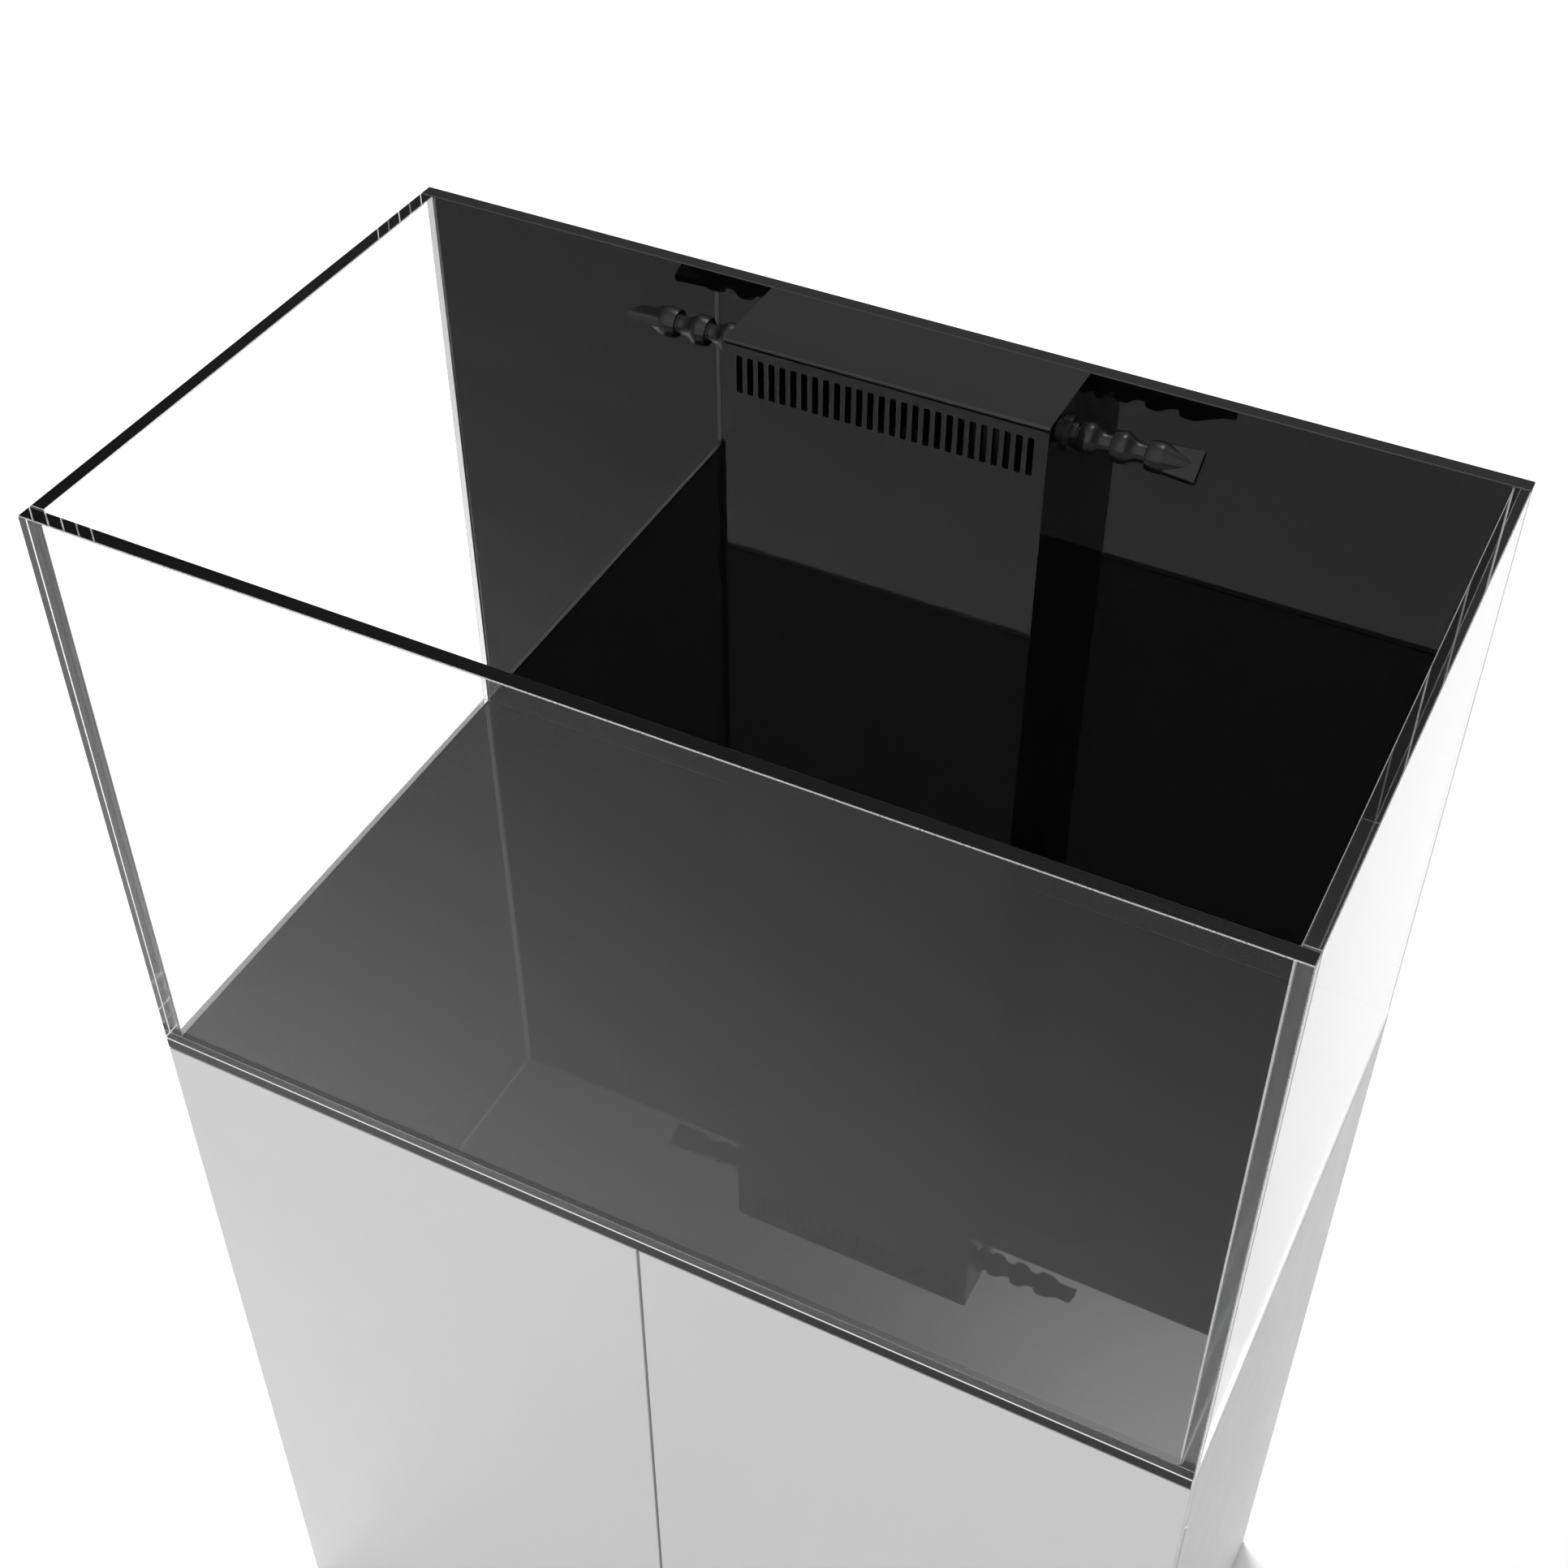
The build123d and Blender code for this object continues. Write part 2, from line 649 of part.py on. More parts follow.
def make_gate_valve_body():
    """The drain's gate valve: barrel, bonnet for the raised gate, and stem nose."""
    stem_axis = forward(DRAIN_X, PLUMBING_Y, VALVE_Z)
    slot_half_w = GATE_HALF_W + GATE_RUNNING
    slot_half_h = GATE_T / 2 + GATE_RUNNING
    bonnet_half_w = GATE_HALF_W + BONNET_WALL
    bonnet_x = (DRAIN_X - bonnet_half_w, DRAIN_X + bonnet_half_w)
    bonnet_z = (VALVE_Z - BONNET_HALF_H, VALVE_Z + BONNET_HALF_H)
    slot_x = (DRAIN_X - slot_half_w, DRAIN_X + slot_half_w)
    slot_y = (GATE_Y[0] - 3, PLUMBING_Y + slot_half_w)
    slot_z = (VALVE_Z - slot_half_h, VALVE_Z + slot_half_h)
    with BuildPart() as body:
        add(rod(upright(DRAIN_X, PLUMBING_Y), VALVE_LOW, VALVE_HIGH, VALVE_R))
        add(block(bonnet_x, (BONNET_Y, PLUMBING_Y - VALVE_R / 2), bonnet_z))
        add(rod(stem_axis, PLUMBING_Y - BONNET_Y, PLUMBING_Y - NOSE_Y, NOSE_R))
        add(cut_valve_bores(DRAIN_X), mode=Mode.SUBTRACT)
        add(block(slot_x, slot_y, slot_z), mode=Mode.SUBTRACT)
        nose_bore = rod(stem_axis, PLUMBING_Y - GATE_Y[0], PLUMBING_Y - NOSE_Y, STEM_R + RUNNING)
        add(nose_bore, mode=Mode.SUBTRACT)
    return body.part


def make_valve_gate():
    """The gate, drawn back clear of the bore, with a blind hole for the stem."""
    stem_axis = forward(DRAIN_X, PLUMBING_Y, VALVE_Z)
    gate_x = (DRAIN_X - GATE_HALF_W, DRAIN_X + GATE_HALF_W)
    with BuildPart() as gate:
        add(block(gate_x, GATE_Y, (VALVE_Z - GATE_T / 2, VALVE_Z + GATE_T / 2)))
        hole = rod(stem_axis, PLUMBING_Y - STEM_TIP_Y - 1, PLUMBING_Y - GATE_Y[0], STEM_R + RUNNING)
        add(hole, mode=Mode.SUBTRACT)
    return gate.part


def make_gate_valve_wheel():
    """The handwheel: round rim, four spokes, hub and the stem it turns."""
    stem_axis = forward(DRAIN_X, PLUMBING_Y, VALVE_Z)
    reach = PLUMBING_Y - WHEEL_Y
    spoke_w, spoke_t = SPOKE
    spoke_face = Plane(origin=(DRAIN_X, WHEEL_Y - spoke_t / 2, VALVE_Z), z_dir=(0, 1, 0))
    with BuildPart() as wheel:
        with BuildSketch(stem_axis):
            with Locations((reach, WHEEL_R)):
                Circle(WHEEL_RIM_R)
        revolve(axis=Axis(stem_axis.origin, stem_axis.x_dir))
        with BuildSketch(spoke_face):
            Rectangle(2 * WHEEL_R, spoke_w)
            Rectangle(spoke_w, 2 * WHEEL_R)
        extrude(amount=spoke_t)
        add(rod(stem_axis, reach - spoke_t - 2, reach + spoke_t, WHEEL_HUB_R))
        add(rod(stem_axis, PLUMBING_Y - STEM_TIP_Y, reach, STEM_R))
    return wheel.part


def make_ball_valve_body():
    """The return's ball valve: barrel swollen round the ball, and stem neck."""
    stem_axis = forward(RETURN_X, PLUMBING_Y, VALVE_Z)
    with BuildPart() as body:
        add(rod(upright(RETURN_X, PLUMBING_Y), VALVE_LOW, VALVE_HIGH, VALVE_R))
        with Locations((RETURN_X, PLUMBING_Y, VALVE_Z)):
            Sphere(VALVE_BALL_R + VALVE_BALL_WALL)
        add(rod(stem_axis, VALVE_BALL_R, LEVER_NECK, NOSE_R))
        add(cut_valve_bores(RETURN_X), mode=Mode.SUBTRACT)
        with Locations((RETURN_X, PLUMBING_Y, VALVE_Z)):
            Sphere(VALVE_BALL_R + VALVE_BALL_ROOM, mode=Mode.SUBTRACT)
        add(rod(stem_axis, 0, LEVER_NECK, LEVER_STEM_R + RUNNING), mode=Mode.SUBTRACT)
    return body.part


def make_valve_ball():
    """The ball, bored along the pipe, with a blind hole for the lever's stem."""
    stem_axis = forward(RETURN_X, PLUMBING_Y, VALVE_Z)
    with BuildPart() as ball:
        with Locations((RETURN_X, PLUMBING_Y, VALVE_Z)):
            Sphere(VALVE_BALL_R)
        add(rod(upright(RETURN_X, PLUMBING_Y), VALVE_LOW, VALVE_HIGH, PIPE_BORE), mode=Mode.SUBTRACT)
        stem_hole = rod(stem_axis, VALVE_BALL_R - LEVER_STEM_IN, VALVE_BALL_R + 1, LEVER_STEM_R)
        add(stem_hole, mode=Mode.SUBTRACT)
    return ball.part


def make_ball_valve_lever():
    """The lever and its stem; the lever lies along the pipe while the valve is open."""
    stem_axis = forward(RETURN_X, PLUMBING_Y, VALVE_Z)
    lever_w, lever_h, lever_t = LEVER
    origin = (RETURN_X, PLUMBING_Y - LEVER_NECK - 5, VALVE_Z + LEVER_RISE)
    with BuildPart() as lever:
        with BuildSketch(Plane(origin=origin, x_dir=(1, 0, 0), z_dir=(0, -1, 0))):
            RectangleRounded(lever_w, lever_h, 6)
        extrude(amount=lever_t)
        add(rod(stem_axis, VALVE_BALL_R - LEVER_STEM_IN, LEVER_NECK + 6, LEVER_STEM_R))
    return lever.part


def make_drain_pipes():
    """The drain runs to the filter sock; the emergency drain runs beside it."""
    high, low = DRAIN_BENDS_Z
    drain = (
        (DRAIN_X, PLUMBING_Y, VALVE_LOW + SOCKET_DEPTH),
        (DRAIN_X, PLUMBING_Y, high),
        (SOCK_AT[0], SOCK_AT[1], low),
        (SOCK_AT[0], SOCK_AT[1], DRAIN_END),
    )
    emergency = (
        (0, PLUMBING_Y, CABINET_H + PIPE_STOP),
        (0, PLUMBING_Y, high),
        (EMERGENCY_AT[0], EMERGENCY_AT[1], low),
        (EMERGENCY_AT[0], EMERGENCY_AT[1], EMERGENCY_END),
    )
    with BuildPart() as pipes:
        add(bent_pipe(drain, DRAIN_BEND_R))
        add(bent_pipe(emergency, DRAIN_BEND_R))
    return pipes.part


def make_return_pipe():
    """From the ball valve down to the pump's outlet."""
    high, low = RETURN_BENDS_Z
    run = (
        (RETURN_X, PLUMBING_Y, VALVE_LOW + SOCKET_DEPTH),
        (RETURN_X, PLUMBING_Y, high),
        (PUMP_OUT_X, PUMP_Y, low),
        (PUMP_OUT_X, PUMP_Y, OUTLET_TOP - SOCKET_DEPTH),
    )
    return bent_pipe(run, RETURN_BEND_R)


# ---- Return pump ----
def make_pump_volute():
    """The pump's wet end: inlet stub, impeller chamber and upright outlet."""
    axis = sideways(0, PUMP_Y, PUMP_Z)
    outlet = upright(PUMP_OUT_X, PUMP_Y)
    face = VOLUTE_X[0]
    inlet_length, inlet_r, inlet_bore = INLET
    with BuildPart() as volute:
        add(rod(axis, face, VOLUTE_X[1], VOLUTE_R))
        add(rod(axis, face - inlet_length, face, inlet_r))
        add(rod(outlet, PUMP_Z, OUTLET_TOP, OUTLET_R))
        add(rod(axis, face + VOLUTE_WALL, VOLUTE_X[1], VOLUTE_R - VOLUTE_WALL), mode=Mode.SUBTRACT)
        add(rod(axis, face - inlet_length, face + VOLUTE_WALL, inlet_bore), mode=Mode.SUBTRACT)
        add(rod(outlet, PUMP_Z, OUTLET_TOP, OUTLET_BORE), mode=Mode.SUBTRACT)
        add(rod(outlet, OUTLET_TOP - SOCKET_DEPTH, OUTLET_TOP, PIPE_R), mode=Mode.SUBTRACT)
    return volute.part


def make_pump_housing():
    """The sealed motor block on four legs, with the rotor's well and a cable gland."""
    axis = sideways(0, PUMP_Y, PUMP_Z)
    body_y = (PUMP_Y - MOTOR_HALF_W, PUMP_Y + MOTOR_HALF_W)
    leg_z = (SUMP_FLOOR, PUMP_Z - MOTOR_HALF_H + 2)
    leg_xs = (MOTOR_X[0] + MOTOR_CORNER, MOTOR_X[1] - MOTOR_CORNER - PUMP_LEG)
    leg_ys = (body_y[0] + MOTOR_CORNER, body_y[1] - MOTOR_CORNER - PUMP_LEG)
    with BuildPart() as housing:
        add(block(MOTOR_X, body_y, (PUMP_Z - MOTOR_HALF_H, PUMP_Z + MOTOR_HALF_H)))
        fillet(housing.edges().filter_by(Axis.X), MOTOR_CORNER)
        add(rod(axis, MOTOR_X[0], WELL_END, ROTOR_R + ROTOR_ROOM), mode=Mode.SUBTRACT)
        for x in leg_xs:
            for y in leg_ys:
                add(block((x, x + PUMP_LEG), (y, y + PUMP_LEG), leg_z))
        gland = sideways(0, PUMP_Y, PUMP_Z + MOTOR_HALF_H / 2)
        add(rod(gland, MOTOR_X[1], MOTOR_X[1] + GLAND_LENGTH, GLAND_R))
    return housing.part


def make_impeller():
    """Rotor magnet, shaft, back disc and six straight vanes round a hub."""
    axis = sideways(0, PUMP_Y, PUMP_Z)
    vane_length, vane_t = VANE
    with BuildPart() as impeller:
        add(rod(axis, ROTOR_X[0], ROTOR_X[1], ROTOR_R))
        add(rod(axis, DISC_X[1], ROTOR_X[0], SHAFT_R))
        add(rod(axis, DISC_X[0], DISC_X[1], DISC_R))
        with BuildSketch(Plane(origin=(VANE_START, PUMP_Y, PUMP_Z), z_dir=(1, 0, 0))):
            Circle(7)
            with PolarLocations(DISC_R - 1 - vane_length / 2, VANE_COUNT):
                Rectangle(vane_length, vane_t)
        extrude(amount=DISC_X[0] - VANE_START)
    return impeller.part


# ---- Sump ----
def make_sump_panes():
    """Four walls and the three baffles that make a bubble trap."""
    inner_y = (SUMP_Y[0] + SUMP_GLASS, SUMP_Y[1] - SUMP_GLASS)
    with BuildPart() as panes:
        add(block(SUMP_X, (SUMP_Y[0], inner_y[0]), SUMP_WALL_Z))
        add(block(SUMP_X, (inner_y[1], SUMP_Y[1]), SUMP_WALL_Z))
    with BuildPart() as ends:
        add(block((SUMP_X[0], SUMP_X[0] + SUMP_GLASS), inner_y, SUMP_WALL_Z))
        add(block((SUMP_X[1] - SUMP_GLASS, SUMP_X[1]), inner_y, SUMP_WALL_Z))
        for x, low, high in BAFFLES:
            add(block((x, x + BAFFLE_T), inner_y, (low, high)))
    return Compound(children=[*panes.part.solids(), *ends.part.solids()])


def make_sock_holder():
    """A shelf on the sump's rim, with a hole for the sock and one for the emergency drain."""
    shelf_z = (SUMP_TOP, SUMP_TOP + HOLDER_T)
    with BuildPart() as holder:
        add(block((SUMP_X[0], HOLDER_END), HOLDER_Y, shelf_z))
        with BuildSketch(Plane(origin=(SOCK_AT[0], SOCK_AT[1], SUMP_TOP))):
            Circle(SOCK_R + HOLE_ROOM)
        with BuildSketch(Plane(origin=(EMERGENCY_AT[0], EMERGENCY_AT[1], SUMP_TOP))):
            Circle(PIPE_R + HOLE_ROOM)
        extrude(amount=HOLDER_T, mode=Mode.SUBTRACT)
    return holder.part


def make_filter_sock():
    """A felt bag hung by its stiff rim."""
    rim_z = SUMP_TOP + HOLDER_T
    inner_r = SOCK_R - SOCK_WALL
    profile = (
        (SOCK_LOW, 0),
        (SOCK_LOW, SOCK_R),
        (rim_z, SOCK_R),
        (rim_z, SOCK_RIM_R),
        (rim_z + SOCK_RIM_T, SOCK_RIM_R),
        (rim_z + SOCK_RIM_T, inner_r),
        (SOCK_LOW + SOCK_WALL, inner_r),
        (SOCK_LOW + SOCK_WALL, 0),
    )
    return turned(profile, upright(*SOCK_AT))


# ---- Door hinges: side is -1 for the left door and +1 for the right ----
def leaf_thirds(z):
    """The three knuckle spans of a hinge at height z, bottom to top."""
    third = HINGE_LENGTH / 3
    low = z - HINGE_LENGTH / 2
    return [(low + i * third + KNUCKLE_GAP, low + (i + 1) * third - KNUCKLE_GAP) for i in range(3)]


def make_leaf(side, z, leaf_y, knuckles, bore):
    """One leaf: its plate, and the knuckles that share the pin."""
    pin_x = side * HINGE_X
    plate_x = sorted((side * (HINGE_X - KNUCKLE_ROOM), side * (HINGE_X - LEAF_W)))
    tab_x = sorted((pin_x, side * (HINGE_X - KNUCKLE_ROOM)))
    span = (z - HINGE_LENGTH / 2, z + HINGE_LENGTH / 2)
    with BuildPart() as leaf:
        add(block(plate_x, leaf_y, span))
        for knuckle in knuckles:
            add(block(tab_x, leaf_y, knuckle))
            add(rod(upright(pin_x, HINGE_Y), knuckle[0], knuckle[1], KNUCKLE_R))
        add(rod(upright(pin_x, HINGE_Y), span[0], span[1], bore), mode=Mode.SUBTRACT)
    return leaf.part


def make_screws(side, to_front):
    """The screws of one door's hinges, into the door or into the side panel."""
    head_y = DOOR_BACK if to_front else CARCASS_FRONT
    inward = -1 if to_front else 1
    with BuildPart() as screws:
        for z in HINGE_HEIGHTS:
            for offset in SCREW_OFFSETS:
                origin = (side * SCREW_X, head_y, z + offset)
                axis = Plane(origin=origin, x_dir=(0, inward, 0), z_dir=(1, 0, 0))
                add(turned(SCREW_PROFILE, axis))
    return screws.part


def make_cabinet_leaves():
    """The fixed leaves, each with its bottom and top knuckle."""
    with BuildPart() as leaves:
        for side in (-1, 1):
            for z in HINGE_HEIGHTS:
                low, _, high = leaf_thirds(z)
                add(make_leaf(side, z, CABINET_LEAF_Y, (low, high), PIN_R))
            add(make_screws(side, False), mode=Mode.SUBTRACT)
    return leaves.part


def make_door_leaves(side):
    """One door's leaves, each with its middle knuckle running on the pin."""
    with BuildPart() as leaves:
        for z in HINGE_HEIGHTS:
            _, middle, _ = leaf_thirds(z)
            add(make_leaf(side, z, DOOR_LEAF_Y, (middle,), PIN_R + RUNNING))
        add(make_screws(side, True), mode=Mode.SUBTRACT)
    return leaves.part


def make_hinge_pins():
    """One pin for each hinge."""
    with BuildPart() as pins:
        for side in (-1, 1):
            for z in HINGE_HEIGHTS:
                span = (z - HINGE_LENGTH / 2, z + HINGE_LENGTH / 2)
                add(rod(upright(side * HINGE_X, HINGE_Y), span[0], span[1], PIN_R))
    return pins.part


def cut_hinge_pockets(side, leaf_y):
    """What the hinges take out of a board: leaf pockets and room for the knuckles."""
    with BuildPart() as pockets:
        pocket_x = sorted((side * (HALF_W + 1), side * (HINGE_X - LEAF_W)))
        for z in HINGE_HEIGHTS:
            span = (z - HINGE_LENGTH / 2, z + HINGE_LENGTH / 2)
            add(block(pocket_x, leaf_y, span))
            barrel = upright(side * HINGE_X, HINGE_Y)
            add(rod(barrel, span[0] - POCKET_ROOM, span[1] + POCKET_ROOM, KNUCKLE_R + POCKET_ROOM))
    return pockets.part


# ---- Cabinet ----
def make_side_panel(side):
    """A full-height side, relieved for the hinges along its front edge."""
    x = sorted((side * INSIDE_X, side * HALF_W))
    with BuildPart() as panel:
        add(block(x, (CARCASS_FRONT, BACK_Y), (GLIDE_T, CARCASS_TOP)))
        corner = (side * HALF_W, CARCASS_FRONT, CARCASS_TOP / 2)
        chamfer(panel.edges().filter_by(Axis.Z).sort_by_distance(corner)[0], HINGE_INSET)
        add(cut_hinge_pockets(side, CABINET_LEAF_Y), mode=Mode.SUBTRACT)
        add(make_screws(side, False), mode=Mode.SUBTRACT)
    return panel.part


def make_door(side):
    """A full-overlay door with no handle."""
    x = sorted((side * DOOR_GAP / 2, side * HALF_W))
    with BuildPart() as door:
        add(block(x, (FRONT_Y, DOOR_BACK), (DOOR_LOW, CABINET_H - DOOR_TOP_GAP)))
        corner = (side * HALF_W, DOOR_BACK, CABINET_H / 2)
        chamfer(door.edges().filter_by(Axis.Z).sort_by_distance(corner)[0], HINGE_INSET)
        chamfer(door.faces().sort_by(Axis.Y)[0].edges(), 0.6)
        add(cut_hinge_pockets(side, DOOR_LEAF_Y), mode=Mode.SUBTRACT)
        add(make_screws(side, True), mode=Mode.SUBTRACT)
    return door.part


def make_top_panel():
    """The board under the tank, cut out round the plumbing."""
    with BuildPart() as top:
        add(block((-INSIDE_X, INSIDE_X), (CARCASS_FRONT, BACK_Y), (TOP_PANEL_LOW, CARCASS_TOP)))
        add(block(CUTOUT_X, CUTOUT_Y, (TOP_PANEL_LOW, CARCASS_TOP)), mode=Mode.SUBTRACT)
    return top.part


def make_levelling_mat():
    """The foam that beds the glass, cut out like the board below it."""
    with BuildPart() as mat:
        add(block((-HALF_W + 2, HALF_W - 2), (CARCASS_FRONT, BACK_Y - 2), (CARCASS_TOP, CABINET_H)))
        add(block(CUTOUT_X, CUTOUT_Y, (CARCASS_TOP, CABINET_H)), mode=Mode.SUBTRACT)
    return mat.part


def make_back_rails():
    """Two rails between the sides; the back is open between them for air and cables."""
    rail_y = (BACK_Y - BOARD, BACK_Y)
    x = (-INSIDE_X, INSIDE_X)
    with BuildPart() as rails:
        add(block(x, rail_y, (GLIDE_T + BOARD, GLIDE_T + BOARD + RAIL_H)))
        add(block(x, rail_y, (TOP_PANEL_LOW - RAIL_H, TOP_PANEL_LOW)))
    return rails.part


def make_glides():
    """Eight round glides under the sides and the bottom panel."""
    with BuildPart() as glides:
        with BuildSketch(Plane.XY):
            with GridLocations(2 * (HALF_W - BOARD / 2), 215, 2, 3):
                Circle(GLIDE_R)
            with GridLocations(0, 430, 1, 2):
                Circle(GLIDE_R)
        extrude(amount=GLIDE_T)
    return glides.part


# ---- Push latches behind the doors' meeting edges ----
def make_latch_bodies():
    """The two latch barrels, screwed under the top panel."""
    with BuildPart() as bodies:
        for side in (-1, 1):
            x = side * LATCH_X
            low = LATCH_Z - LATCH_HALF
            add(block((x - LATCH_HALF, x + LATCH_HALF), LATCH_Y, (low, TOP_PANEL_LOW)))
            bore = rod(forward(x, 0, LATCH_Z), PLUNGER_END - 10, -LATCH_Y[0], PLUNGER_R + RUNNING)
            add(bore, mode=Mode.SUBTRACT)
    return bodies.part


def make_latch_plunger(side):
    """A sprung plunger with a broad tip just behind the closed door."""
    axis = forward(side * LATCH_X, 0, LATCH_Z)
    tip_r, tip_length = PLUNGER_TIP
    tip = -DOOR_BACK - 0.3
    with BuildPart() as plunger:
        add(rod(axis, PLUNGER_END, tip - 1, PLUNGER_R))
        add(rod(axis, tip - tip_length, tip, tip_r))
    return plunger.part


def make_all():
    """Build and write every piece."""
    walls_y = (INNER_FRONT + JOINT, INNER_BACK - JOINT)
    save(pane((-HALF_W, HALF_W), (FRONT_Y, INNER_FRONT), WALL_Z), "front_pane")
    save(pane((-HALF_W, HALF_W), (INNER_BACK, BACK_Y), WALL_Z), "back_pane")
    save(pane((-HALF_W, -INNER_X), walls_y, WALL_Z), "left_pane")
    save(pane((INNER_X, HALF_W), walls_y, WALL_Z), "right_pane")
    save(make_bottom_pane(), "bottom_pane")
    save(make_tank_silicone(), "tank_silicone")

    save(make_overflow_front(), "overflow_front")
    save(make_overflow_side(-1), "overflow_left_side")
    save(make_overflow_side(1), "overflow_right_side")
    save(make_overflow_cover(), "overflow_cover")

    save(Compound(children=[make_nozzle_collar(-1), make_nozzle_collar(1)]), "nozzle_collars")
    save(Compound(children=[make_nozzle_nut(-1), make_nozzle_nut(1)]), "nozzle_nuts")
    for side, name, angle in ((-1, "left", LEFT_FAN_ANGLE), (1, "right", RIGHT_FAN_ANGLE)):
        save(make_nozzle_segment(side, 0), f"{name}_nozzle_segment_1")
        save(make_nozzle_segment(side, 1), f"{name}_nozzle_segment_2")
        save(make_flare_nozzle(side, angle), f"{name}_flare_nozzle")

    save(make_bulkhead_fittings(), "bulkhead_fittings")
    save(make_bulkhead_gaskets(), "bulkhead_gaskets")
    save(make_bulkhead_nuts(), "bulkhead_nuts")
    save(make_drain_standpipe(), "drain_standpipe")
    emergency_z = (PIPE_TOP, FLOOR_Z + EMERGENCY_PIPE_H)
    emergency = tube(0, PLUMBING_Y, emergency_z, PIPE_R, PIPE_BORE)
    save(emergency, "emergency_standpipe")
    save(make_return_pipes(), "return_pipes")
    save(make_return_tee(), "return_tee")

    save(make_valve_inlet_pipes(), "valve_inlet_pipes")
    save(make_gate_valve_body(), "gate_valve_body")
    save(make_valve_gate(), "valve_gate")
    save(make_gate_valve_wheel(), "gate_valve_wheel")
    save(make_ball_valve_body(), "ball_valve_body")
    save(make_valve_ball(), "valve_ball")
    save(make_ball_valve_lever(), "ball_valve_lever")
    save(make_drain_pipes(), "drain_pipes")
    save(make_return_pipe(), "return_pipe_lower")

    save(make_pump_volute(), "pump_volute")
    save(make_pump_housing(), "pump_housing")
    save(make_impeller(), "impeller")
    save(block(SUMP_X, SUMP_Y, (GLIDE_T + BOARD, SUMP_FLOOR)), "sump_base")
    save(make_sump_panes(), "sump_panes")
    save(make_sock_holder(), "sock_holder")
    save(make_filter_sock(), "filter_sock")

    save(make_side_panel(-1), "left_side_panel")
    save(make_side_panel(1), "right_side_panel")
    save(make_top_panel(), "top_panel")
    bottom_z = (GLIDE_T, GLIDE_T + BOARD)
    save(block((-INSIDE_X, INSIDE_X), (CARCASS_FRONT, BACK_Y), bottom_z), "bottom_panel")
    save(make_back_rails(), "back_rails")
    save(make_levelling_mat(), "levelling_mat")
    save(make_glides(), "glides")
    save(make_door(-1), "left_door")
    save(make_door(1), "right_door")

    save(make_cabinet_leaves(), "cabinet_hinge_leaves")
    save(make_door_leaves(-1), "left_door_hinge_leaves")
    save(make_door_leaves(1), "right_door_hinge_leaves")
    save(make_hinge_pins(), "hinge_pins")
    screws = [make_screws(-1, False), make_screws(1, False)]
    save(Compound(children=screws), "cabinet_hinge_screws")
    save(make_screws(-1, True), "left_door_screws")
    save(make_screws(1, True), "right_door_screws")
    save(make_latch_bodies(), "latch_bodies")
    save(make_latch_plunger(-1), "left_latch_plunger")
    save(make_latch_plunger(1), "right_latch_plunger")


make_all()
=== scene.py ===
"""The looks of the rimless aquarium and its cabinet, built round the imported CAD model. Metres."""

import json
import math

import bpy
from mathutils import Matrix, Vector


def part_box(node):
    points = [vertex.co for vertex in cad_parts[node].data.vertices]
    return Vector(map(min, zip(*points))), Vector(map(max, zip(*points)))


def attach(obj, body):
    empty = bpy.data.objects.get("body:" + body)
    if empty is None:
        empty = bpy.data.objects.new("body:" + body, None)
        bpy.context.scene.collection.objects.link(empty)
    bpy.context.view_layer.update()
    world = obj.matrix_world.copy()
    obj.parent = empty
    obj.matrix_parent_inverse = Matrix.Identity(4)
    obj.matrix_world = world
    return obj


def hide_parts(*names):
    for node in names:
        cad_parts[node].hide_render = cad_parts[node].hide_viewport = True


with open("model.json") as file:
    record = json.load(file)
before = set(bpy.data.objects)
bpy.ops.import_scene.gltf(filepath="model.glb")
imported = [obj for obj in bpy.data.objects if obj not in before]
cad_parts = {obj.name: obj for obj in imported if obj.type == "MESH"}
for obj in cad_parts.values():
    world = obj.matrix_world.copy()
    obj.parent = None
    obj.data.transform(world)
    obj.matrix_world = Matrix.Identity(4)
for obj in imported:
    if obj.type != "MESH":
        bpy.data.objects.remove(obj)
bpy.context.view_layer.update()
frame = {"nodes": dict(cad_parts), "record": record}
nodes = frame["nodes"]
slot_of = {part["node"]: part["material_slot"] for part in frame["record"]["subparts"]}


